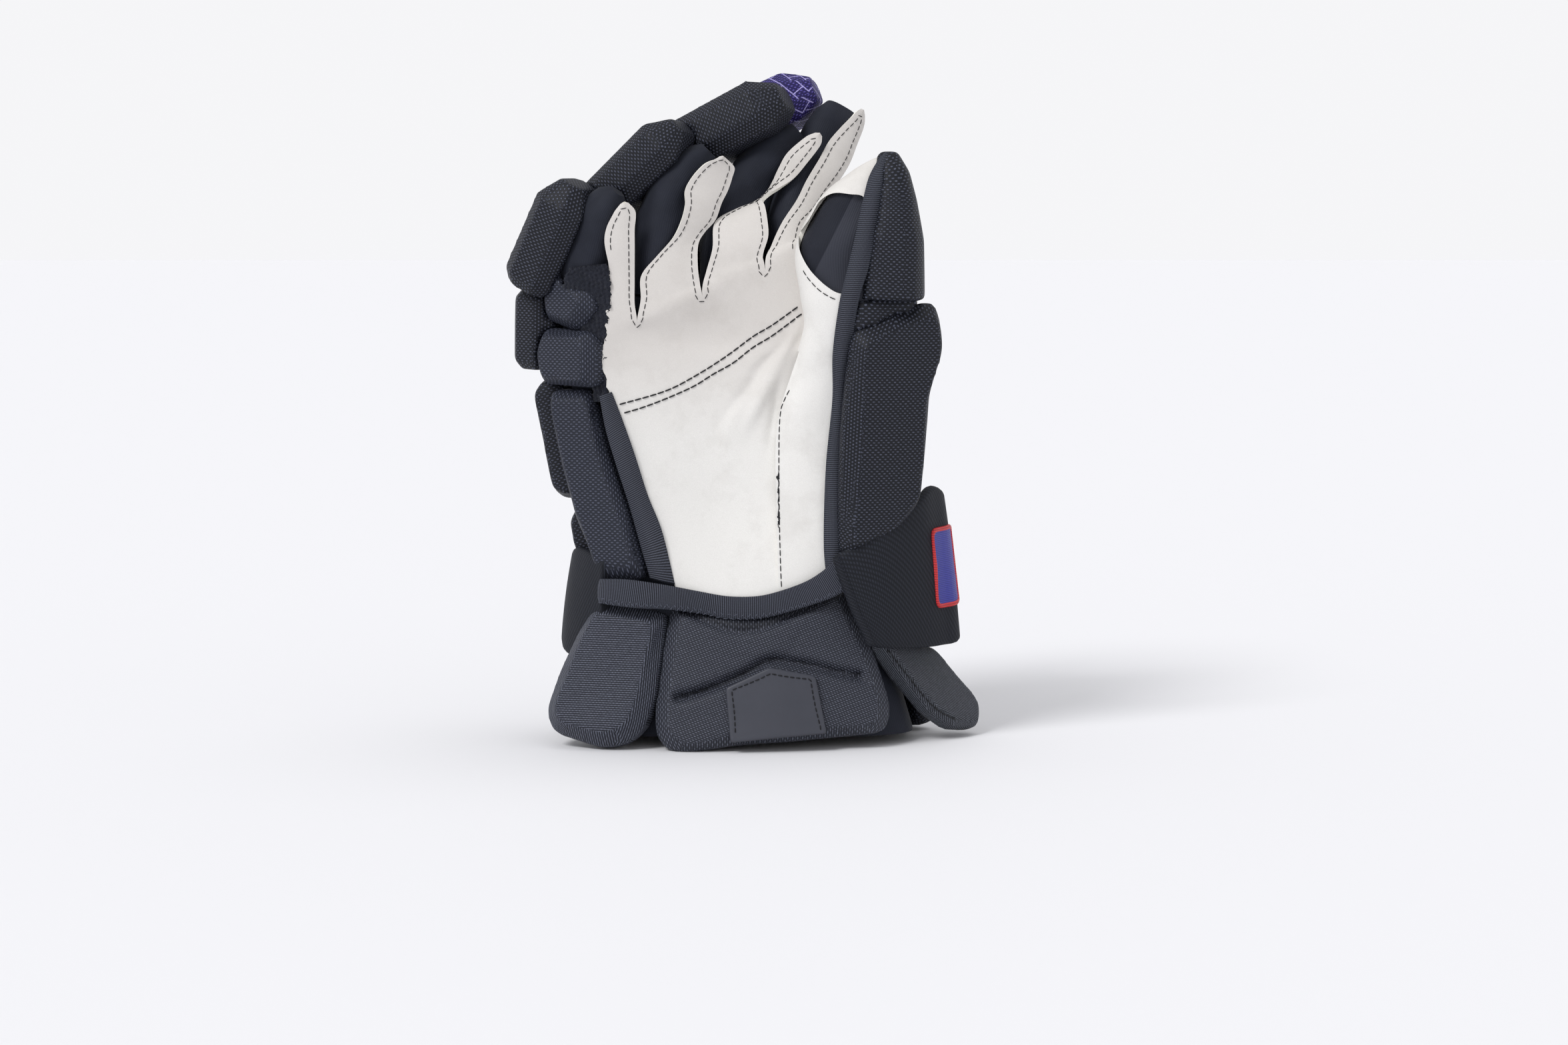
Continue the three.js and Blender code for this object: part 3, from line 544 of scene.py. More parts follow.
# Palm stitches: black bonded thread, one row inside the edges of the tongues and round the slits, and a
# double row slantwise across the palm.
STITCH = 3.0
STITCH_GAP = 0.35
THREAD = 0.2
HEAVY_THREAD = 0.36
EDGE_ALLOWANCE = 2.9
HEM_FROM = 238
UPPER_SEAM = [[-57.9, 164.8], [-41.4, 169.3], [-31.8, 172.8], [-22.2, 177.9], [-12.7, 183.6], [-3.1, 190],
              [6.5, 197.3], [16, 203], [30, 213]]
LOWER_SEAM = [[-55.7, 160.7], [-46.2, 163.5], [-35, 167.7], [-22.2, 173.4], [-12.7, 179.2], [-3.1, 184.6],
              [6.5, 191.9], [16, 197.9], [31, 209]]


def facing(grid):
    """A grid's unit normals, from the cross of its two directions, turned toward the viewer."""
    normal = unit(np.cross(np.gradient(grid, axis=1), np.gradient(grid, axis=0)))
    return normal * np.where(normal[..., 1:2] > 0, -1, 1)


def on_leather(line, points, normals, lift):
    """Puts a line of x and height on a surface: each place takes the plane of the nearest point."""
    line = np.asarray(line, float)
    near = ((line[:, None] - points[None][..., [0, 2]]) ** 2).sum(-1).argmin(1)
    spot, normal = points[near], normals[near]
    away = line - spot[:, [0, 2]]
    y = spot[:, 1] - (normal[:, [0, 2]] * away).sum(1) / normal[:, 1]
    return np.stack([line[:, 0], y, line[:, 1]], 1) + normal * lift, normal


def stitches(name, rows, material, length=STITCH, gap=STITCH_GAP, radius=THREAD):
    """Rows of short thread bows along lines on a surface: each a tube of six sides and seven rings, its radius
    the fourth-power round of its length, its ends bent down into the surface."""
    share = np.linspace(-1, 1, 7)
    turn = np.arange(6) * np.pi / 3
    size = radius * np.sqrt(np.clip(1 - share ** 4, 0.02, 1))
    lift = radius * (0.9 - 1.6 * share ** 4)
    points, faces, total = [], [], 0
    for line, normal in rows:
        run = np.concatenate([[0], np.cumsum(np.linalg.norm(np.diff(line, axis=0), axis=1))])
        places = np.arange(length / 2, run[-1] - length / 2, length + gap)
        if not len(places):
            continue
        middle, up = (np.stack([np.interp(places, run, v) for v in values.T], 1) for values in (line, normal))
        ahead, behind = (np.stack([np.interp(places + step, run, v) for v in line.T], 1) for step in (0.6, -0.6))
        along = unit(ahead - behind)
        up = unit(up - (up * along).sum(1, keepdims=True) * along)
        across = np.cross(along, up)
        centre = middle[:, None] + along[:, None] * (share * length / 2)[:, None] + up[:, None] * lift[:, None]
        ring = (size[:, None] * np.cos(turn))[..., None] * across[:, None, None]
        ring = ring + (size[:, None] * np.sin(turn))[..., None] * up[:, None, None]
        tubes = (centre[:, :, None] + ring).reshape(-1, 3)
        a = np.arange(6)[None] + 6 * np.arange(6)[:, None]
        b = (np.arange(6)[None] + 1) % 6 + 6 * np.arange(6)[:, None]
        quads = np.stack([a, b, b + 6, a + 6], -1).reshape(-1, 4)
        start = total + 42 * np.arange(len(places))[:, None, None]
        faces += (quads[None] + start).reshape(-1, 4).tolist()
        faces += (np.arange(6)[::-1] + start[:, 0]).tolist() + (np.arange(36, 42) + start[:, 0]).tolist()
        points.append(tubes)
        total += len(tubes)
    mesh = bpy.data.meshes.new(name)
    mesh.from_pydata(((np.concatenate(points) + SHIFT) / 1000).tolist(), [], faces)
    mesh.polygons.foreach_set("use_smooth", np.ones(len(mesh.polygons), bool))
    mesh.materials.append(material)
    whole = bmesh.new()
    whole.from_mesh(mesh)
    bmesh.ops.recalc_face_normals(whole, faces=whole.faces)
    whole.to_mesh(mesh)
    whole.free()
    row = bpy.data.objects.new(name, mesh)
    scene.collection.objects.link(row)
    hold(row, None)


def bonded_thread(name, dark, light):
    """Bonded nylon thread, 0.4 to 0.7 mm thick: three twisted plies under a thin wax that gives a low gloss."""
    material = new_material(name)
    place = add_node(material, "ShaderNodeTexCoord")
    ply = add_node(material, "ShaderNodeTexNoise", {
        "Vector": place.outputs["Object"], "Scale": 3000.0, "Detail": 2.0})
    tone = add_node(material, "ShaderNodeMix", {
        0: ply.outputs["Fac"], 6: rgba(dark), 7: rgba(light)}, data_type="RGBA")
    rise = add_node(material, "ShaderNodeBump", {"Height": ply.outputs["Fac"], "Distance": 0.0001, "Strength": 0.5})
    surface(material, tone, rise, 0.5, shine=0.3)
    return material


thread = bonded_thread("black_nylon_thread", "#060608", "#1c1d22")
leather_points = np.concatenate([grid.reshape(-1, 3) for grid in tongue_grids])
leather_normals = np.concatenate([facing(grid).reshape(-1, 3) for grid in tongue_grids])
hem = []
for k, grid in enumerate(tongue_grids):
    tongue = grid[len(lines) - 1:]
    left, right = tongue[:, 0], tongue[:, -1]
    wide = np.linalg.norm(right - left, axis=1, keepdims=True)
    inset = unit(right - left) * np.minimum(EDGE_ALLOWANCE, 0.5 * wide)
    keep = wide[:, 0] > 2.2 * EDGE_ALLOWANCE
    rise_side, fall_side = (left + inset)[keep][:, [0, 2]], (right - inset)[keep][::-1][:, [0, 2]]
    if k == 0:
        rise_side = rise_side[rise_side[:, 1] > HEM_FROM]
    hem += [rise_side, fall_side]
    if k < len(tongue_grids) - 1:
        hem.append(grid[len(lines) - 1, -1:, [0, 2]].T.reshape(1, 2) + [[0, -EDGE_ALLOWANCE]])
hem = np.concatenate(hem)
hem = even(np.column_stack([hem, np.zeros(len(hem))]), 0.8)[0][:, :2]
double = [even(np.column_stack([seam, np.zeros(9)]), 0.8)[0][:, :2] for seam in (UPPER_SEAM, LOWER_SEAM)]
stitches("palm_hem_stitches", [on_leather(hem, leather_points, leather_normals, LEATHER / 2)], thread)
stitches("palm_double_stitches", [on_leather(line, leather_points, leather_normals, LEATHER / 2) for line in double],
         thread, length=3.9, gap=-0.1, radius=HEAVY_THREAD)

# Thumb leather: suede that looks brighter than the palm's because its painted shade is lighter and higher up, wrapped
# round the left of the thumb from binding to back, and run down as a flat foot beside the palm; an oval opening shows
# the gusset, and its left edge is sewn to the palm.
THUMB_LEATHER = 2
BINDING_X = np.array([[84, 45], [100, 45], [136, 45.5], [168, 47.5], [190, 48.5], [214, 51.5], [231, 56], [248, 59.5],
                      [262, 62.5], [273, 65.5], [283, 69]])
FOOT = np.array([  # from the binding to the seam, bottom to top
    [[44, -34, 81], [35, -34, 77], [27, -34, 73], [18.5, -34, 70]],
    [[43, -33.5, 116], [34, -33, 116], [25, -32, 116], [17.5, -31, 116]],
    [[44, -35, 146], [34, -34.5, 146], [25, -32.5, 146], [17.5, -29.8, 146]],
    [[46, -38, 163], [37, -37.8, 163], [28, -35.4, 163], [20, -30, 163]],
    [[47, -42, 177], [39, -41.4, 177], [31, -37.8, 177], [24.5, -31.5, 177]],
])
OPENING = [[28, 246], [30.5, 249.5], [33, 253], [35.5, 257.5], [38, 261.5], [42, 264.3], [46, 265.2], [52, 264.5],
           [58, 263.5], [60, 258], [60, 240], [56, 228], [50, 219], [46, 218.5], [41, 221.5], [36.5, 225.5],
           [33, 229.5], [30, 234.5], [28.2, 239.5]]
HAND_TOP = 217


def clear_of_hand(points, grow):
    """Moves points that are inside the hand form straight out from its middle to just above it: a point's
    share of the superellipse's reach, where it is below one, is made one."""
    moved = points.copy()
    section = np.stack([np.interp(points[..., 2], hand_rows[:, 2], hand_rows[:, k]) for k in (0, 1, 3, 4)], -1)
    arm = points[..., :2] - section[..., :2]
    share = (np.abs(arm / (section[..., 2:] + grow)) ** HAND_FULLNESS).sum(-1) ** (1 / HAND_FULLNESS)
    out = (share < 1) & (points[..., 2] < HAND_TOP)
    moved[..., :2] = np.where(out[..., None], section[..., :2] + arm / np.maximum(share, 0.05)[..., None],
                              points[..., :2])
    return moved


def thumb_wrap(rows, first, last, columns, grow):
    """Part of the thumb's superellipses, from share `first` to share `last` of the way from the binding in
    front, round the left side, to the binding at the back."""
    x, y, z, a, b = np.asarray(rows).T
    a, b = a + grow, b + grow
    reach = np.clip((np.interp(z, *BINDING_X.T) - x) / a, -0.98, 0.98)
    start = np.arccos(bent(reach, 4 / THUMB_FULLNESS))
    share = np.linspace(first, last, columns + 1)
    angle = -(start[:, None] + (2 * np.pi - 2 * start[:, None]) * share)
    across = a[:, None] * bent(np.cos(angle), THUMB_FULLNESS)
    deep = b[:, None] * bent(np.sin(angle), THUMB_FULLNESS)
    return np.stack([x[:, None] + across, y[:, None] + deep, np.broadcast_to(z[:, None], across.shape)], -1)


FRONT_SHARE = 0.42
upper = np.array([row for row in THUMB.tolist() if row[2] >= 190] + [[66.5, -36, 281, 0.3, 0.3]])
upper, _ = even(upper, 1.6)
thumb_grow = THUMB_LEATHER / 2 + 0.4
front = thumb_wrap(upper, 0, FRONT_SHARE, 30, thumb_grow)
back = thumb_wrap(upper, FRONT_SHARE, 1, 44, thumb_grow)
steer = thumb_wrap(upper[[0, 9]], 0, FRONT_SHARE, 3, thumb_grow)
foot = spline(np.concatenate([FOOT, steer]), 12, ends=(False, True))
foot = spline(foot.transpose(1, 0, 2), 10).transpose(1, 0, 2)
foot[-1] = front[0]
patches = [(clear_of_hand(part, thumb_grow), strip_uv(part), 0) for part in (foot, front, back)]
# The second colour is the thumb's lighter painted shade, from 0.2 m up.
thumb_suede = suede("thumb_suede", "#ebeae7", "#dfdcd8", "#ece8dc", (0.2, 0.3))
thumb_leather = weld("thumb_leather_skin", patches, thumb_suede)
thicken(thumb_leather, THUMB_LEATHER, 0, rim=1)
outline = even(np.array([[x, -36, z] for x, z in [*OPENING, OPENING[0]]], float), 1.5)[0][:, :3]
BORE = 40
depths = np.linspace(0, -BORE, 3)[:, None, None] * np.array([0, 1, 0])
bore = outline[None] + depths
plan = np.broadcast_to(outline[None][..., [0, 2]], (3, len(outline), 2))
hole = weld("opening", [(bore, plan, 0), (*cap(bore, plan, 0, 2), 0), (*cap(bore, plan, -1, 2), 0)], thumb_suede[1:])
cut(thumb_leather, hole)
tailored(thumb_leather, "thumb_leather")

# Thumb stitches: the same thread round the lower rim of the opening and down the seam to the wrist.
RIM_SEAM = [[30.8, 229.1], [33.3, 225.1], [38, 219.8], [42.7, 216.7], [46.4, 215.1]]
SIDE_SEAM = [[24.5, 172], [21.5, 166], [20, 160.8], [19.2, 150], [18.9, 135], [18.9, 116], [19.4, 90], [20, 76]]
thumb_points = np.concatenate([foot.reshape(-1, 3), front.reshape(-1, 3)])
thumb_normals = np.concatenate([facing(foot).reshape(-1, 3), facing(front).reshape(-1, 3)])
seams = [even(np.column_stack([line, np.zeros(len(line))]), 0.8)[0][:, :2] for line in (RIM_SEAM, SIDE_SEAM)]
stitches("thumb_stitches", [on_leather(line, thumb_points, thumb_normals, THUMB_LEATHER / 2) for line in seams],
         thread, length=3.4, gap=0.3, radius=0.24)
KNOTS = [(130, 0.42), (123, 0.2), (111, 0.34), (108.5, 0.2)]  # height and half size
height = np.linspace(106, 133, 160)
knot = sum(size * np.exp(-((height - at) / 0.9) ** 2) for at, size in KNOTS)
tangle = np.column_stack([18.6 + 0.2 * np.sin(height * 1.1) + 1.1 * knot * np.sin(height * 5.3), height])
spots, _ = on_leather(tangle, thumb_points, thumb_normals, THUMB_LEATHER / 2 + 0.2)
rows = np.column_stack([spots, 0.17 + knot, 0.17 + 0.7 * knot])
grid, uv = tube(rows, FRONT, 2, 8, 0.3)
hold(closed("seam_thread_knots", grid, uv, thread, rings=2), None)

# Bindings: ribbed polyester tapes, folded over the edges of the leather and topstitched: one down the thumb,
# one down the little finger's side, and one across the wrist.
TAPE = {"palm_binding": (2.2, 1.6), "thumb_binding": (2.0, 1.5), "wrist_binding": (1.8, 0.5)}
TAPES = {  # left edge and right edge points along each
    "palm_binding": [
        [[-67, -32, 169], [-61, -32, 171]], [[-64, -33, 153], [-56, -33, 158]], [[-59, -34, 136], [-50, -34, 141]],
        [[-53, -34, 117], [-44, -34, 122]], [[-48, -35, 99], [-37, -35, 104]], [[-43, -36, 82], [-31, -36, 79]]],
    "thumb_binding": [
        [[41.5, -38, 80], [49, -38, 80]], [[40, -37, 100], [50, -37, 100]], [[41, -38, 136], [50, -38, 136]],
        [[44, -41, 168], [51, -41, 168]], [[44, -49, 190], [53, -48, 190]], [[47, -55.5, 214], [56, -55.5, 214]],
        [[51, -57, 231], [61, -56, 231]], [[55, -56, 248], [64, -54, 248]], [[58, -54, 262], [67, -52, 262]],
        [[61, -50, 273], [70, -49, 273]], [[66, -46, 282], [72, -45, 284]]],
    "wrist_binding": [
        [[-66, -30, 71], [-65.5, -29, 81]], [[-67, -35, 70.5], [-66.5, -34, 81.5]],
        [[-64.5, -39, 70], [-64.5, -38, 82]], [[-50, -43, 68.5], [-52, -42, 82]], [[-34, -41, 67.5], [-34, -40, 79]],
        [[-18, -37.4, 65], [-20, -37, 76]], [[-6, -36.6, 62.5], [-6, -36.4, 73.5]],
        [[8, -36.6, 62.5], [8, -36.4, 73.5]], [[20, -37.2, 65], [19, -36.9, 76]],
        [[36, -38.7, 70], [31, -37.8, 80.5]], [[46, -40.3, 74], [39, -39, 85.5]], [[54, -41.6, 79], [45, -40.6, 91]]],
}


def band(rows, thickness, step, crown=0.0, column=2.5):
    """A flat strip with round edges along pairs of edge points: a stadium of the given thickness, square to
    the strip, its outer side's middle raised by the crown. Returns the grid and its UV, round and along in
    millimetres."""
    line, run = even(np.asarray(rows, float).reshape(len(rows), 6), step)
    left, right = line[:, :3], line[:, 3:]
    middle, half = (left + right) / 2, np.linalg.norm(right - left, axis=1) / 2
    across = unit(right - left)
    normal = unit(np.cross(across, unit(np.gradient(middle, axis=0))))
    normal = normal * np.sign((normal[:, :2] * middle[:, :2]).sum())
    radius = thickness / 2
    bow = np.linspace(-np.pi / 2, np.pi / 2, 7)
    span = np.linspace(-1, 1, max(int(half.mean() / column), 3) * 2 + 1)
    flat = half.mean() - radius
    side = np.concatenate([np.ones(7), -span[1:-1], -np.ones(7), span[1:-1], [1]])
    lift = np.concatenate([np.sin(bow), np.ones(len(span) - 2), np.sin(bow[::-1]), -np.ones(len(span) - 2), [-1]])
    tip = np.concatenate([np.cos(bow), np.zeros(len(span) - 2), -np.cos(bow), np.zeros(len(span) - 2), [0]])
    reach = side * (half[:, None] - radius) + tip * radius
    rise = lift * radius + crown * (lift > 0) * (1 - side ** 2) * (tip == 0)
    grid = middle[:, None] + reach[..., None] * across[:, None] + rise[..., None] * normal[:, None]
    u = side * flat + tip * radius
    return grid, np.stack(np.broadcast_arrays(u[None], run[:, None]), -1)


def grosgrain():
    """Polyester grosgrain tape: filling cords 0.95 mm apart run across it, near black with a satin sheen on
    each cord, broken up into beads by a finer warp."""
    material = new_material("ribbed_polyester_tape")
    place = add_node(material, "ShaderNodeUVMap", uv_map="UVMap")
    cords = add_node(material, "ShaderNodeTexWave", {
        "Vector": place.outputs["UV"], "Scale": math.pi / 10 / 0.95, "Distortion": 0.4, "Detail": 1.0},
        bands_direction="Y")
    warp = add_node(material, "ShaderNodeTexWave", {
        "Vector": place.outputs["UV"], "Scale": math.pi / 10 / 0.6, "Distortion": 0.4}, bands_direction="X")
    bead = add_node(material, "ShaderNodeMath", {0: warp.outputs["Fac"], 1: 0.5, 2: 0.5}, operation="MULTIPLY_ADD")
    height = add_node(material, "ShaderNodeMath", {
        0: bead.outputs["Value"], 1: cords.outputs["Fac"]}, operation="MULTIPLY")
    tone = add_node(material, "ShaderNodeMix", {
        0: height.outputs["Value"], 6: rgba("#121319"), 7: rgba("#5c606d")}, data_type="RGBA")
    rise = add_node(material, "ShaderNodeBump", {
        "Height": height.outputs["Value"], "Distance": 0.0004, "Strength": 0.8})
    surface(material, tone, rise, 0.6, shine=0.2)
    return material


tape_cloth = grosgrain()
for node, rows in TAPES.items():
    grid, uv = band(rows, TAPE[node][0], 1.0, crown=TAPE[node][1])
    tape = closed(node + "_tape", grid, uv, tape_cloth)
    tailored(tape, node)

# Fleece panel: brushed polyester fleece between the little finger's pads and the leather, with a matted,
# tufted pile.
PILE = 2
SIDE_PANEL = [[[-70, -24, 166], [-63, -29.5, 166]], [[-72, -25, 185], [-63.5, -29.5, 185]],
              [[-76, -25, 200], [-63, -29.5, 200]], [[-82, -25.5, 213], [-61.5, -31, 213]],
              [[-84, -27.5, 223], [-61.5, -31.5, 224]], [[-81, -28, 230], [-63, -31, 232]]]


def fleece():
    """Brushed fleece: a black pile in small tufts 1.5 mm across, which scatters light at its edges."""
    material = new_material("brushed_fleece")
    place = add_node(material, "ShaderNodeTexCoord")
    tufts = add_node(material, "ShaderNodeTexNoise", {
        "Vector": place.outputs["Object"], "Scale": 650.0, "Detail": 5.0, "Roughness": 0.75})
    tone = add_node(material, "ShaderNodeMix", {
        0: tufts.outputs["Fac"], 6: rgba("#090a0f"), 7: rgba("#393c48")}, data_type="RGBA")
    rise = add_node(material, "ShaderNodeBump", {
        "Height": tufts.outputs["Fac"], "Distance": 0.0012, "Strength": 0.9})
    surface(material, tone, rise, 1.0, shine=0.1, sheen=0.1)
    return material


def tufts(across, along):
    """Matted tufts: products of sines whose lengths, 1.3 to 9 mm, don't fit together."""
    return (0.32 * np.sin(across * 4.7 + along * 1.9) * np.sin(along * 3.9 - across * 1.7)
            + 0.4 * np.sin(across * 2.1 - along * 1.3 + 1) * np.sin(along * 1.7 + across * 0.7)
            + 0.5 * np.sin(along * 0.7 + across * 0.4))


grid, uv = band(SIDE_PANEL, PILE, 0.6, column=0.35)
grid[..., 1] += tufts(grid[..., 0], grid[..., 2])
grid[..., 0] += 0.5 * np.sin(grid[..., 2] * 1.7) * np.sin(grid[..., 2] * 0.6) + 0.25 * np.sin(grid[..., 2] * 5.1)
pile = closed("side_fleece_pile", grid, uv, fleece())
tailored(pile, "side_fleece_panel")

# Padded pieces: foam blocks under heavy nylon cloth, sewn in flat panels with cut-off corners. The cloth
# swells a little between its seams.


def nylon(name, dark, light, cells, corner_cells, seam, turned=0.0, broken=1.0):
    """Heavy woven nylon: bright yarns come up in staggered dashes over a near-black ground. `cells` are the pitch of
    the dashes and of their rows in millimetres; on the cut-off corners the cloth lies on the cross and looks coarser
    and lighter, as `corner_cells` says. `broken` is how far the rows break up into dashes. A seam runs along each
    chamfer edge, darkened toward black by the share `seam`; on the palm pad's flange the same darkening is painted
    shade."""
    material = new_material(name)
    place = add_node(material, "ShaderNodeUVMap", uv_map="UVMap")
    turn = add_node(material, "ShaderNodeMapping", {
        "Vector": place.outputs["UV"], "Rotation": (0, 0, math.radians(turned))})
    crosswise = add_node(material, "ShaderNodeMapping", {
        "Vector": place.outputs["UV"], "Rotation": (0, 0, math.radians(90))})
    corner = add_node(material, "ShaderNodeAttribute", attribute_name="corner")
    dashes = []
    for (length, row), vector in ((cells, turn.outputs["Vector"]), (corner_cells, crosswise.outputs["Vector"])):
        lattice = add_node(material, "ShaderNodeMapping", {
            "Vector": vector, "Scale": (1 / length, 0.5 / row, 1), "Rotation": (0, 0, math.radians(45))})
        yarns = [add_node(material, "ShaderNodeTexWave", {
            "Vector": lattice.outputs["Vector"], "Scale": math.pi * math.sqrt(2) / 10, "Distortion": 1.7,
            "Detail": 2.0}, bands_direction=way) for way in "XY"]
        crossing = add_node(material, "ShaderNodeMath", {
            0: yarns[0].outputs["Fac"], 1: yarns[1].outputs["Fac"]}, operation="MULTIPLY")
        rows = add_node(material, "ShaderNodeTexWave", {
            "Vector": vector, "Scale": math.pi / 10 / row, "Phase Offset": math.pi, "Distortion": 0.8,
            "Detail": 2.0}, bands_direction="Y")
        share = add_node(material, "ShaderNodeMath", {
            0: crossing.outputs["Value"], 1: broken, 2: 1 - broken}, operation="MULTIPLY_ADD")
        dotted = add_node(material, "ShaderNodeMath", {
            0: share.outputs["Value"], 1: rows.outputs["Fac"]}, operation="MULTIPLY")
        dashes.append(add_node(material, "ShaderNodeMapRange", {
            "Value": dotted.outputs["Value"], "From Min": 0.04, "From Max": 0.5 + 0.3 * (1 - broken)},
            interpolation_type="SMOOTHSTEP"))
    which = add_node(material, "ShaderNodeMapRange", {
        "Value": corner.outputs["Fac"], "From Min": 0.35, "From Max": 0.55})
    dash = add_node(material, "ShaderNodeMix", {
        0: which.outputs["Result"], 2: dashes[0].outputs["Result"], 3: dashes[1].outputs["Result"]})
    weave = add_node(material, "ShaderNodeMix", {
        0: dash.outputs[0], 6: rgba(dark), 7: rgba(light)}, data_type="RGBA")
    wear_and_shade = add_node(material, "ShaderNodeTexNoise", {
        "Vector": place.outputs["UV"], "Scale": 0.5, "Detail": 7.0, "Roughness": 0.75})
    shade = add_node(material, "ShaderNodeMapRange", {
        "Value": wear_and_shade.outputs["Fac"], "From Min": 0.35, "From Max": 0.65, "To Min": 0.5, "To Max": 0.0})
    tone = add_node(material, "ShaderNodeMix", {
        0: shade.outputs["Result"], 6: weave.outputs[2], 7: rgba(dark)}, data_type="RGBA")
    # The seam mark darkens the cloth toward black along seams; on the palm pad's flange it is painted shade.
    seam_and_shade = add_node(material, "ShaderNodeAttribute", attribute_name="seam_and_shade")
    seam_and_shade_share = add_node(material, "ShaderNodeMapRange", {
        "Value": seam_and_shade.outputs["Fac"], "From Min": 0.8, "From Max": 0.98, "To Min": 0.0, "To Max": seam})
    seamed_and_shaded = add_node(material, "ShaderNodeMix", {
        0: seam_and_shade_share.outputs["Result"], 6: tone.outputs[2], 7: rgba("#060709")}, data_type="RGBA")
    sunk = add_node(material, "ShaderNodeMath", {
        0: -1.5, 1: seam_and_shade_share.outputs["Result"], 2: dash.outputs[0]}, operation="MULTIPLY_ADD")
    rise = add_node(material, "ShaderNodeBump", {
        "Height": sunk.outputs["Value"], "Distance": 0.0005, "Strength": 0.9})
    surface(material, seamed_and_shaded, rise, 0.55, shine=0.25)
    return material


def frames(rows, palm):
    """Places along a roll's middle line: middle, width, depth and length directions, and the way run."""
    line, run = even(np.asarray(rows, float), 2.0)
    middle = line[:, :3]
    along = unit(np.gradient(middle, axis=0))
    depth = unit(np.asarray(palm) - (along @ np.asarray(palm, float))[:, None] * along)
    return middle, np.cross(depth, along), depth, along, run


def face_frames(at, yaw, pitch, reach=60):
    """The same for a pad that is turned by yaw and pitch: its line runs up its face."""
    yaw, pitch = math.radians(yaw), math.radians(pitch)
    up = np.array([-math.sin(yaw) * math.sin(pitch), math.cos(yaw) * math.sin(pitch), math.cos(pitch)])
    out = np.array([math.sin(yaw) * math.cos(pitch), -math.cos(yaw) * math.cos(pitch), math.sin(pitch)])
    rows = [np.array(at) - reach * up, np.array(at) + reach * up]
    return frames(rows, out)


def local(points, normals, line):
    """Each point's and normal's width, depth and length shares, in the frame of the nearest place on a line."""
    middle, width, depth, along, run = line
    near = ((points[:, None] - middle[None]) ** 2).sum(-1).argmin(1)
    arm = points - middle[near]
    axes = np.stack([width[near], depth[near], along[near]], 1)
    spot = np.einsum("nij,nj->ni", axes, arm)
    spot[:, 2] += run[near]
    return spot, np.einsum("nij,nj->ni", axes, normals)


def mesh_array(mesh, owner, key, width, kind=np.float32):
    """One of a mesh's properties as an array."""
    values = np.empty(len(owner) * width, kind)
    owner.foreach_get(key, values)
    return values.reshape(-1, width) if width > 1 else values


def stuffed(node, name, line, material, voxel=1.5, inset=-0.2, ridged=True):
    """A padded piece in the place of its solid: even small faces all round, eased edges, drawn in a little to
    leave room to swell. UV: each face is laid flat on the one of eight sides that it faces, in millimetres."""
    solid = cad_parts[node]
    raw = bmesh.new()
    raw.from_mesh(solid.data)
    bmesh.ops.remove_doubles(raw, verts=raw.verts, dist=1e-6)
    mesh = bpy.data.meshes.new(name)
    raw.to_mesh(mesh)
    raw.free()
    piece = bpy.data.objects.new(name, mesh)
    scene.collection.objects.link(piece)
    net = piece.modifiers.new("net", "REMESH")
    net.mode = "VOXEL"
    net.voxel_size = voxel / 1000
    ease = piece.modifiers.new("ease", "SMOOTH")
    ease.factor = 0.5
    ease.iterations = 1
    settle(piece, 180)
    mesh = piece.data
    mesh.materials.clear()
    mesh.materials.append(material)
    points = mesh_array(mesh, mesh.vertices, "co", 3) * 1000 - SHIFT
    normals = mesh_array(mesh, mesh.vertex_normals, "vector", 3)
    spot, way = local(points, normals, line)
    squarest = np.abs(way).max(1)
    seam_and_shade = np.exp(-((squarest - 0.924) / 0.025) ** 2) * ridged
    corner = np.clip((1 - squarest) / 0.25, 0, 1) * ridged
    for key, value in (("seam_and_shade", seam_and_shade), ("corner", corner)):
        mesh.attributes.new(key, "FLOAT", "POINT").data.foreach_set("value", value.astype(np.float32))
    faces = mesh_array(mesh, mesh.polygons, "normal", 3)
    corners = mesh_array(mesh, mesh.loops, "vertex_index", 1, np.int32)
    first = mesh_array(mesh, mesh.polygons, "loop_start", 1, np.int32)
    count = mesh_array(mesh, mesh.polygons, "loop_total", 1, np.int32)
    owner = np.repeat(np.arange(len(first)), count)
    centre = np.add.reduceat(points[corners], first) / count[:, None]
    _, facing = local(centre, faces, line)
    sector = np.round(np.arctan2(facing[:, 0], facing[:, 1]) / (np.pi / 4)) * (np.pi / 4)
    lid = np.abs(facing[:, 2]) > 0.8
    at = spot[corners]
    flat = at[:, 0] * np.cos(sector[owner]) - at[:, 1] * np.sin(sector[owner])
    layout = np.where(lid[owner, None], at[:, [0, 1]], np.stack([flat, at[:, 2]], 1))
    mesh.uv_layers.new(name="UVMap").data.foreach_set("uv", layout.ravel().astype(np.float32))
    start = mesh_array(mesh, mesh.vertices, "co", 3) - normals * inset / 1000
    mesh.vertices.foreach_set("co", start.ravel())
    piece.vertex_groups.new(name="seams").add(np.flatnonzero(seam_and_shade > 0.6).tolist(), 1.0, "REPLACE")
    return piece


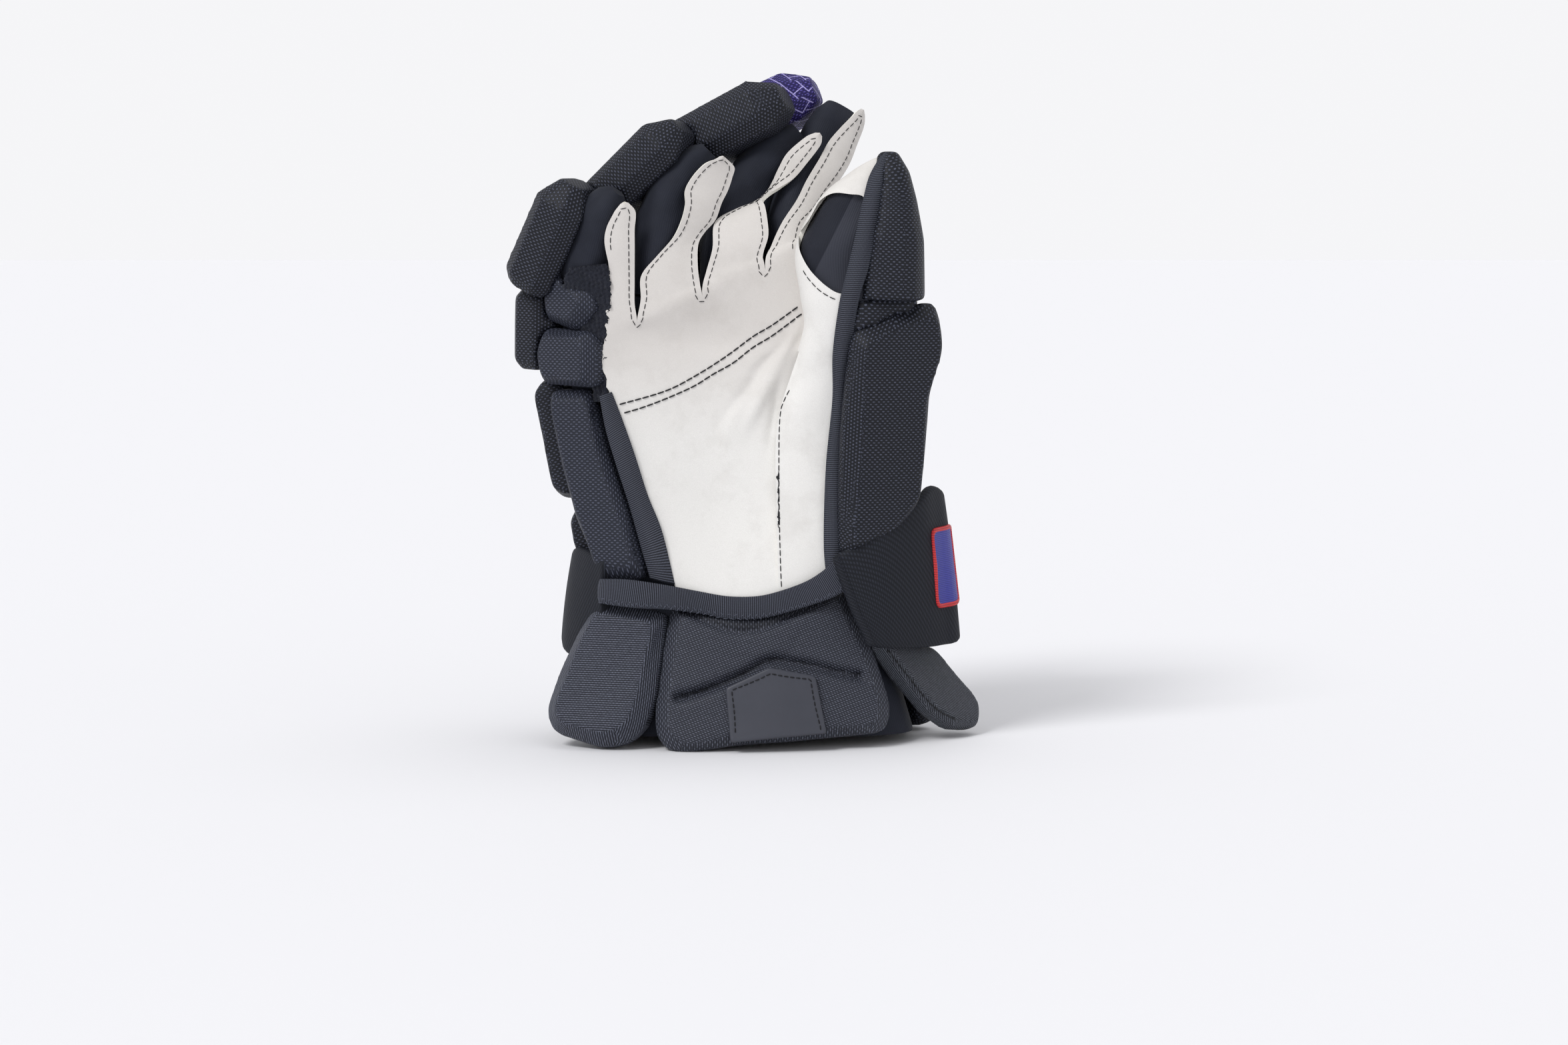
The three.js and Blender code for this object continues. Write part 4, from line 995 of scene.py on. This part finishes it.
def swell(group, pressure=6.0, reach=1.0):
    """Blows the pieces up from inside, held at their seams, with cloth that has no weight; then no point is
    left further than `reach` millimetres from where it began, and each face is halved."""
    for piece in group:
        cloth = piece.modifiers.new("cloth", "CLOTH").settings
        cloth.quality = 4
        cloth.mass = 0.05
        cloth.tension_stiffness = cloth.compression_stiffness = 12
        cloth.bending_stiffness = 0.6
        cloth.use_pressure = True
        cloth.uniform_pressure_force = pressure
        cloth.effector_weights.gravity = 0
        cloth.vertex_group_mass = "seams"
    for step in range(1, 21):
        scene.frame_set(step)
    graph = bpy.context.evaluated_depsgraph_get()
    for piece in group:
        blown = piece.evaluated_get(graph).data
        end = mesh_array(blown, blown.vertices, "co", 3)
        start = mesh_array(piece.data, piece.data.vertices, "co", 3)
        move = end - start
        far = np.maximum(np.linalg.norm(move, axis=1, keepdims=True) * 1000 / reach, 1)
        piece.modifiers.clear()
        piece.data.vertices.foreach_set("co", (start + move / far).ravel())
    scene.frame_set(1)
    for piece in group:
        piece.vertex_groups.clear()
        finer = piece.modifiers.new("finer", "SUBSURF")
        finer.levels = finer.render_levels = 1


def distance(points, line):
    """How far flat points are from a line of straight stretches: the least over the stretches of the distance
    to the nearest place on each."""
    a, b = line[:-1][None], line[1:][None]
    arm = points[:, None] - a
    share = np.clip((arm * (b - a)).sum(-1) / ((b - a) ** 2).sum(-1), 0, 1)
    return np.linalg.norm(arm - share[..., None] * (b - a), axis=-1).min(1)


def press(piece, out, depth):
    """Pushes a piece in against the way that it faces, by a depth in millimetres for each point given as a
    function of x and height; only the points that face that way move."""
    mesh = piece.data
    points = mesh_array(mesh, mesh.vertices, "co", 3)
    normals = mesh_array(mesh, mesh.vertex_normals, "vector", 3)
    flat = (points * 1000 - SHIFT)[:, [0, 2]]
    share = np.clip((normals @ np.asarray(out)) * 2.5 - 0.5, 0, 1)
    points = points - (share * depth(flat))[:, None] * np.asarray(out) / 1000
    mesh.vertices.foreach_set("co", points.ravel())


def pack_away(group):
    """Each padded piece rides on the glove in the place of its solid."""
    for node, piece in group.items():
        hold(piece, node)


# Side pads: a long woven pad and two small lumps on the little finger's side, and the long pad of the thumb.
SIDE_PADS = {"little_side_pad_upper": ((-83, -24, 216), -40, 0), "little_side_pad_lower": ((-84, -24, 188), -40, 0),
             "hand_side_pad": ((-70, -27, 125), -28, 0)}
woven = nylon("plain_woven_nylon", "#20232d", "#5b5f70", (3.0, 1.1), (2.4, 1.2), 0.4)
side_pads = {node: stuffed(node, node + "_cushion", face_frames(*place), woven) for node, place in SIDE_PADS.items()}
swell(side_pads.values())
PAD_FOOT = 3.0  # the side pad's foot comes down to the wrist binding
press(side_pads["hand_side_pad"], (0.27, 0, -0.96), lambda flat: np.full(len(flat), -PAD_FOOT))
pack_away(side_pads)

mesh_cloth = nylon("basket_woven_nylon", "#12141b", "#555969", (2.6, 1.15), (1.7, 1.6), 0.45)
thumb_pad = {"thumb_side_pad": stuffed("thumb_side_pad", "thumb_side_cushion", face_frames((71, -43, 152), 25, -7),
                                       mesh_cloth, 1.8, -0.5)}
swell(thumb_pad.values())
pack_away(thumb_pad)

# These cuff cloths are lighter than the fingers' cloth, partly as painted light for the cuff's faces that turn up
# toward the lamps, partly their own greyer weave.
cuff_cloth = nylon("dense_woven_nylon", "#25272f", "#6b6f7d", (1.9, 0.95), (2.6, 1.2), 0.5, -24, 0.8)
row_cloth = nylon("rowed_woven_nylon", "#1d1f27", "#6b6f7e", (1.7, 1.05), (2.2, 1.2), 0.5, 0, 0.5)
rib_cloth = nylon("ribbed_woven_nylon", "#1b1d23", "#656973", (2.2, 0.85), (1.7, 0.95), 0.5, -26, 0.3)

# Cuff pads: a left roll, a palm pad with a pressed groove, and a flaring right roll, which stand on the floor.
CUFF_AT, CUFF_YAW, CUFF_PITCH = (13, -43, 31), 4, 12
CUFF_PADS = {"cuff_left_roll": ((-65, -38, 37), -15, 12, row_cloth),
             "cuff_palm_pad": (CUFF_AT, CUFF_YAW, CUFF_PITCH, cuff_cloth),
             "cuff_right_roll": ((94, -15, 27), 54, 20, rib_cloth)}
cuff_pads = {node: stuffed(node, node + "_cushion", face_frames(*place), cloth)
             for node, (*place, cloth) in CUFF_PADS.items()}
swell(cuff_pads.values())
palm_pad = cuff_pads["cuff_palm_pad"]
GROOVE = np.array([[-29, 26], [-20, 28.5], [-6, 33.4], [6, 39], [14, 43.6], [24, 42.5], [35, 40.5], [46, 38],
                   [57, 35.7]])
FACE_EDGE = np.array([[-45, 75], [-31.5, 68], [-22, 62.5], [-12.5, 58.5], [-1.4, 55.3], [8, 56], [16, 58.5],
                      [28, 63.5], [38.2, 68], [50, 76]])
GROOVE_DEPTH = 4.2
GROOVE_REACH = 2.3
FLANGE_DEPTH = 1.4
CREASE_DEPTH = 2.4


def pressed(flat):
    """The groove is a Gaussian valley along its line, deeper in a pit at its right end; above the edge of the
    raised face the pad falls, with a crease and a smooth step of 2.5 mm, to its thin flange."""
    valley = GROOVE_DEPTH * np.exp(-(distance(flat, even(GROOVE, 2)[0]) / GROOVE_REACH) ** 2)
    pit = 1.2 * np.exp(-(((flat - GROOVE[-1]) / 2.4) ** 2).sum(1))
    over = np.clip((flat[:, 1] - np.interp(flat[:, 0], *FACE_EDGE.T)) / 2.5, 0, 1)
    crease_line = even(FACE_EDGE, 2)[0] + [0, 1.6]
    fold = CREASE_DEPTH * np.exp(-(distance(flat, crease_line) / 1.5) ** 2)
    return valley + pit + fold + FLANGE_DEPTH * over * over * (3 - 2 * over)


PALM_PAD_OUT = (0.07, -0.975, 0.21)
press(palm_pad, PALM_PAD_OUT, pressed)
flat = (mesh_array(palm_pad.data, palm_pad.data.vertices, "co", 3) * 1000 - SHIFT)[:, [0, 2]]
seam_and_shade = mesh_array(palm_pad.data, palm_pad.data.attributes["seam_and_shade"].data, "value", 1)
seam_and_shade = np.maximum(seam_and_shade, 0.99 * np.exp(-(distance(flat, even(GROOVE, 2)[0]) / 2.2) ** 2))
# Painted shade: above the face edge the flange takes the seam mark, which darkens it, partly as its open mesh's own
# darker look and partly as the shade of its recess under the wrist tape.
over = np.clip((flat[:, 1] - np.interp(flat[:, 0], *FACE_EDGE.T)) / 1.5, 0, 1)
seam_and_shade = np.maximum(seam_and_shade, 0.95 * over)
corner = mesh_array(palm_pad.data, palm_pad.data.attributes["corner"].data, "value", 1)
palm_pad.data.attributes["corner"].data.foreach_set("value", np.maximum(corner, over).astype(np.float32))
palm_pad.data.attributes["seam_and_shade"].data.foreach_set("value", seam_and_shade.astype(np.float32))
pack_away(cuff_pads)

# Right cuff roll seam: stitched between the plain inner band and the outer face.
ROLL_SEAM = [[70.8, 47.2], [80.5, 34.1], [93.5, 17.8], [104.9, 9.7]]
right_roll = cuff_pads["cuff_right_roll"].data
roll_points = mesh_array(right_roll, right_roll.vertices, "co", 3) * 1000 - SHIFT
roll_normals = mesh_array(right_roll, right_roll.vertex_normals, "vector", 3)
front = roll_normals[:, 1] < -0.25
line = even(np.column_stack([ROLL_SEAM, np.zeros(4)]), 0.8)[0][:, :2]
stitches("cuff_roll_stitches", [on_leather(line, roll_points[front], roll_normals[front], 0.2)], thread,
         length=2.8, gap=0.5, radius=0.3)
seam_and_shade = mesh_array(right_roll, right_roll.attributes["seam_and_shade"].data, "value", 1)
seam_and_shade = np.maximum(seam_and_shade, 0.99 * np.exp(-(distance(roll_points[:, [0, 2]], line) / 1.6) ** 2) * front)
right_roll.attributes["seam_and_shade"].data.foreach_set("value", seam_and_shade.astype(np.float32))

# Cuff patch: a plain shield of smooth blue-grey rubber, sewn on the palm pad with black thread.
CUFF_BEND = 0.002
SHIELD = [[-20, -1], [1, 8.6], [23, 4.5], [28, -23], [-18, -27]]
SHIELD_RINGS = ((0, 2.0), (0, 4.3), (0.3, 4.8), (0.9, 5.0), (2, 5.05), (3.2, 5.0), (5, 5.05), (8, 5.1))


def outline_of(corners, step=0.7, ease=4):
    """A closed outline with eased corners: points in even steps along its sides, then each made the mean of
    its neighbours a few times."""
    corners = np.array([*corners, corners[0]], float)
    run = np.concatenate([[0], np.cumsum(np.linalg.norm(np.diff(corners, axis=0), axis=1))])
    places = np.linspace(0, run[-1], int(run[-1] / step) + 1)[:-1]
    ring = np.stack([np.interp(places, run, v) for v in corners.T], 1)
    for _ in range(ease):
        ring = (np.roll(ring, 1, 0) + 2 * ring + np.roll(ring, -1, 0)) / 4
    return ring


def inset_rings(ring, steps, to_middle=8):
    """Rings drawn in from an outline toward its middle: first by millimetres, then by even shares."""
    centre = ring.mean(0)
    arm = ring - centre
    length = np.linalg.norm(arm, axis=1, keepdims=True)
    rings = [(centre + arm / length * (length - inset), height) for inset, height in steps]
    inset, height = steps[-1]
    rest = length - inset
    rings += [(centre + arm / length * rest * (1 - k / to_middle), height) for k in range(1, to_middle + 1)]
    flat = np.stack([np.concatenate([r, r[:1]]) for r, _ in rings])
    return flat, np.array([h for _, h in rings])[:, None] + np.zeros(flat.shape[:2])


def on_face(flat, height, at, yaw, pitch, bend=0.0):
    """Places of a face's right, up and height, turned by yaw and pitch and bent sideways."""
    _, width, depth, along, _ = face_frames(at, yaw, pitch)
    lift = height - bend * flat[..., 0] ** 2
    return (np.array(at) - flat[..., :1] * width[0] + flat[..., 1:] * along[0] + lift[..., None] * depth[0])


def soft_rubber():
    """Calendered synthetic rubber: blue-grey, smooth and matt, with a very fine grain and a soft shine."""
    material = new_material("calendered_rubber")
    place = add_node(material, "ShaderNodeTexCoord")
    grain = add_node(material, "ShaderNodeTexNoise", {
        "Vector": place.outputs["Object"], "Scale": 1500.0, "Detail": 3.0})
    cloud = add_node(material, "ShaderNodeTexNoise", {
        "Vector": place.outputs["Object"], "Scale": 60.0, "Detail": 4.0})
    tone = add_node(material, "ShaderNodeMix", {
        0: cloud.outputs["Fac"], 6: rgba("#34363f"), 7: rgba("#3e4049")}, data_type="RGBA")
    rise = add_node(material, "ShaderNodeBump", {
        "Height": grain.outputs["Fac"], "Distance": 0.00005, "Strength": 0.5})
    surface(material, tone, rise, 0.42, shine=0.4)
    return material


shield = outline_of(SHIELD)
flat, height = inset_rings(shield, SHIELD_RINGS)
grid = on_face(flat, height, CUFF_AT, CUFF_YAW, CUFF_PITCH, CUFF_BEND)
under, low = inset_rings(shield, ((0, 2.0),), 4)
base = on_face(under, low, CUFF_AT, CUFF_YAW, CUFF_PITCH, CUFF_BEND)
patch = weld("cuff_patch_shield", [(grid, flat, 0), (base, under, 0)], [soft_rubber()])
hold(patch, "cuff_patch")
row = shield[(shield[:, 1] > -24.5) & ~((shield[:, 0] > -17) & (shield[:, 1] < -20) & (shield[:, 0] < 26))]
row = np.roll(row, -int(np.argmax(np.linalg.norm(np.roll(row, -1, 0) - row, axis=1))) - 1, 0)
arm = row - shield.mean(0)
row = shield.mean(0) + arm * (1 - 3.0 / np.linalg.norm(arm, axis=1, keepdims=True))
line = on_face(row, np.full(len(row), 5.0), CUFF_AT, CUFF_YAW, CUFF_PITCH, CUFF_BEND)
out = face_frames(CUFF_AT, CUFF_YAW, CUFF_PITCH)[2][:1]
stitches("cuff_patch_stitches", [(line, np.repeat(out, len(line), 0))], thread, length=2.6, gap=0.3, radius=0.3)

# Wrist binding stitches: a straight row along the tape's middle and a zigzag row over its lower edge, in grey.
ZIGZAG = 1.1


def tape_row(rows, share, swing=0.0, step=1.7):
    """Points along a tape at a share of the way across it, swung by a distance to either side in turn."""
    line, _ = even(np.asarray(rows, float).reshape(len(rows), 6), step)
    left, right = line[:, :3], line[:, 3:]
    across = unit(right - left)
    turn = swing * (-1.0) ** np.arange(len(line))[:, None]
    normal = unit(np.cross(across, unit(np.gradient((left + right) / 2, axis=0))))
    normal = normal * np.where(normal[:, 1:2] > 0, -1, 1)
    return left + (right - left) * share + across * turn + normal * (TAPE["wrist_binding"][0] / 2), normal


grey_thread = bonded_thread("grey_nylon_thread", "#2c2e38", "#5a5e6c")
wrist = TAPES["wrist_binding"]
stitches("wrist_zigzag_stitches", [tape_row(wrist, 0.12, ZIGZAG)], grey_thread, length=2.5, gap=0.2, radius=0.24)
stitches("wrist_row_stitches", [tape_row(wrist, 0.5)], thread, length=2.4, gap=0.5, radius=0.25)

# Finger rolls: a chamfered roll on the tip and one on the base of each finger's back.
ROLLS = (  # name, start, end, the way the inner side faces
    ("little_tip_roll", (-100, -8, 220), (-77, -20, 270), (0.8, -0.35, -0.48)),
    ("ring_tip_roll", (-69, 1, 256), (-27, -11, 297), (0.65, -0.3, -0.7)),
    ("middle_tip_roll", (-33, 16, 283), (22, 1, 312), (0.45, -0.3, -0.85)),
    ("index_tip_roll", (-19, 38, 292), (37, 26, 317), (0.4, -0.3, -0.87)),
    ("little_base_roll", (-95, 3, 181), (-94, 1, 224), (0.8, -0.6, 0)),
    ("ring_base_roll", (-56, 30, 186), (-58, 13, 250), (0.5, -0.85, 0)),
    ("middle_base_roll", (-20, 33, 186), (-20, 22, 262), (0.2, -0.97, 0)),
    ("index_base_roll", (16, 32, 186), (14, 29, 268), (0.1, -0.99, 0)),
)
violet_mesh = nylon("violet_woven_nylon", "#211a50", "#6a60b8", (2.2, 1.15), (2.2, 1.15), 0.2)
place = add_node(violet_mesh, "ShaderNodeUVMap", uv_map="UVMap")
turn = add_node(violet_mesh, "ShaderNodeMapping", {
    "Vector": place.outputs["UV"], "Rotation": (0, 0, math.radians(28)), "Location": (3, 2, 0)})
panes = add_node(violet_mesh, "ShaderNodeTexBrick", {
    "Vector": turn.outputs["Vector"], "Scale": 1.0, "Mortar Size": 0.3, "Mortar Smooth": 0.3, "Brick Width": 17.0,
    "Row Height": 6.0}, offset=0.4, squash=1.6, squash_frequency=3)
lined = add_node(violet_mesh, "ShaderNodeMix", {
    0: panes.outputs["Fac"], 6: base_colour(violet_mesh), 7: rgba("#a79fd8")}, data_type="RGBA")
recolour(violet_mesh, lined)
finger_rolls = {node: stuffed(node, node + "_cushion", frames([start, end], palm),
                              violet_mesh if node == "index_tip_roll" else mesh_cloth)
                for node, start, end, palm in ROLLS}
swell(finger_rolls.values())
index_tip = {"index_tip_roll": finger_rolls.pop("index_tip_roll")}
pack_away(finger_rolls)
pack_away(index_tip)

# Back rolls: two wide rolls round the back of the hand and one round the back of the cuff.
WRAPS = {  # middle line from the left edge to the right, and the way up
    "back_roll_upper": ([[-88, -10, 148], [-87, 8, 147], [-76, 26, 147], [-50, 35, 147], [0, 37, 147], [40, 34, 147],
                         [60, 18, 147]], (-0.2, 0, 0.98)),
    "back_roll_lower": ([[-75, -8, 101], [-74, 8, 101], [-64, 25, 101], [-40, 33, 101], [10, 34, 101], [44, 27, 101],
                         [58, 12, 101]], (-0.2, 0, 0.98)),
    "cuff_back_roll": ([[-76, 2, 32], [-72, 24, 30], [-54, 41, 29], [-20, 48, 29], [30, 48, 29], [70, 40, 29],
                        [90, 20, 30]], (0, -0.2, 0.98)),
}
WRAP_VOXEL = 2.2
wraps = {node: stuffed(node, node + "_cushion", frames(*shape), mesh_cloth, WRAP_VOXEL)
         for node, shape in WRAPS.items()}
swell(wraps.values())
pack_away(wraps)

# Wrist wings: two flaps of foam under fine twill that wrap round from the front and meet at the back.
WING = 5
WINGS = {  # bottom and top points from the front edge round to the back
    "wrist_wing_right": [[[62, -41, 50], [45.5, -44.5, 94]], [[73, -35, 48], [66, -40, 105.5]],
                         [[88, -23, 47], [83, -28.5, 118]], [[98, -13, 47], [91, -16, 124.8]],
                         [[105, -3, 48], [96.5, -2, 121]], [[96, 20, 54], [92, 16, 112]],
                         [[68, 36, 62], [66, 34, 88]], [[8, 39.5, 64], [8, 39.5, 84]], [[-9, 41, 64], [-9, 41, 84]]],
    "wrist_wing_left": [[[-64, -33, 44], [-64, -33, 90]], [[-78, -20, 42], [-73, -20, 94]],
                        [[-85, -6, 44], [-79, -6, 94]], [[-83, 10, 52], [-78, 12, 88]],
                        [[-60, 32, 62], [-58, 31, 85]], [[-1, 38, 64], [-1, 38, 84]]],
}


def fine_twill():
    """Polyester twill, woven with fine diagonal wales 1 mm apart: near black, even and slightly satin."""
    material = new_material("polyester_twill")
    place = add_node(material, "ShaderNodeUVMap", uv_map="UVMap")
    wales = add_node(material, "ShaderNodeTexWave", {
        "Vector": place.outputs["UV"], "Scale": math.pi / 10 / 1.0, "Distortion": 0.6, "Detail": 2.0},
        bands_direction="DIAGONAL")
    yarn = add_node(material, "ShaderNodeTexWave", {
        "Vector": place.outputs["UV"], "Scale": math.pi / 10 / 0.8, "Distortion": 0.5}, bands_direction="Y")
    height = add_node(material, "ShaderNodeMath", {
        0: wales.outputs["Fac"], 1: yarn.outputs["Fac"]}, operation="MULTIPLY")
    tone = add_node(material, "ShaderNodeMix", {
        0: height.outputs["Value"], 6: rgba("#15171d"), 7: rgba("#2d303a")}, data_type="RGBA")
    rise = add_node(material, "ShaderNodeBump", {
        "Height": height.outputs["Value"], "Distance": 0.00025, "Strength": 0.7})
    surface(material, tone, rise, 0.65, shine=0.2)
    return material


twill = fine_twill()
for node, rows in WINGS.items():
    grid, uv = band(rows, WING, 2.5, crown=0.6)
    wing = closed(node + "_flap", grid, uv, twill)
    hold(wing, node)

# Wing bead: the right wing's front edge is turned and piped with the same twill.
BEAD = [[46, -45, 93, 2.1, 2.1], [50.4, -44.6, 80.2, 2.3, 2.3], [55.6, -43.6, 66.4, 2.3, 2.3],
        [60.4, -42.6, 56, 2.2, 2.2], [62.4, -42, 50.5, 2, 2]]
grid, uv = tube(BEAD, FRONT, 2, 20, 1.5)
hold(closed("wing_front_bead", grid, uv, twill, rings=4), None)

# Wing emblem: a plain woven patch, blue with a red overlocked border, sewn round the corner of the right wing.
EMBLEM_MIDDLE = (50, 39)  # along the wing from its front edge, and up from its lower edge
EMBLEM = [[-10, -20.5], [9.5, -20.5], [9.5, 19], [-10, 19]]
EMBLEM_RINGS = ((0, -0.5), (0, 0.9), (0.4, 1.5), (1.1, 1.8), (1.8, 1.5), (2.2, 1.1), (3, 1.1))


def embroidery(name, dark, light, pitch):
    """Satin-stitched rayon thread: close glossy threads side by side."""
    material = new_material(name)
    place = add_node(material, "ShaderNodeUVMap", uv_map="UVMap")
    threads = add_node(material, "ShaderNodeTexWave", {
        "Vector": place.outputs["UV"], "Scale": math.pi / 10 / pitch, "Distortion": 0.8, "Detail": 2.0},
        bands_direction="Y")
    tone = add_node(material, "ShaderNodeMix", {
        0: threads.outputs["Fac"], 6: rgba(dark), 7: rgba(light)}, data_type="RGBA")
    rise = add_node(material, "ShaderNodeBump", {
        "Height": threads.outputs["Fac"], "Distance": 0.0003, "Strength": 0.7})
    surface(material, tone, rise, 0.45)
    return material


def on_wing(flat, lift):
    """Places on the right wing's outer face: a way along it, a height up it and a distance above it."""
    line, run = even(np.asarray(WINGS["wrist_wing_right"], float).reshape(-1, 6), 2.5)
    low, high = line[:, :3], line[:, 3:]
    outward = unit(np.cross(unit(np.gradient((low + high) / 2, axis=0)), unit(high - low)))
    away = flat[..., 0] + EMBLEM_MIDDLE[0]
    low, high, outward = (np.stack([np.interp(away, run, v) for v in values.T], -1)
                          for values in (low, high, outward))
    return low + unit(high - low) * (flat[..., 1:] + EMBLEM_MIDDLE[1]) + outward * (WING / 2 + lift)[..., None]


ring = outline_of(EMBLEM, ease=30)
flat, height = inset_rings(ring, EMBLEM_RINGS)
grid = on_wing(flat, height)
border = len(EMBLEM_RINGS) - 2
emblem = weld("wing_emblem_patch", [(grid[:border + 1], flat[:border + 1], 1), (grid[border:], flat[border:], 0)],
              [embroidery("blue_satin_stitch", "#20237a", "#3437a6", 0.9),
               embroidery("red_overlock_stitch", "#9c1a20", "#d8262c", 1.2)])
thicken(emblem, 0.6, -1)
tailored(emblem, "wing_emblem")

# Thumb rolls: a long padded roll over the tip and right side of the thumb, and a short one below it.
THUMB_ROLLS = {
    "thumb_tip_roll": ([[70, -34, 215.5], [71.5, -35, 243], [72, -36, 262], [71.5, -38, 275], [70, -39, 284]], FRONT),
    "thumb_base_roll": ([[63, -28, 190], [63, -31, 197], [63, -31.5, 211], [63, -31.5, 215]], (0.4, -0.92, 0)),
}
FULLER = {"thumb_tip_roll": -0.7, "thumb_base_roll": -1.6}
thumb_rolls = {node: stuffed(node, node + "_cushion", frames(*shape), mesh_cloth, inset=FULLER[node], ridged=False)
               for node, shape in THUMB_ROLLS.items()}
swell(thumb_rolls.values())
pack_away(thumb_rolls)
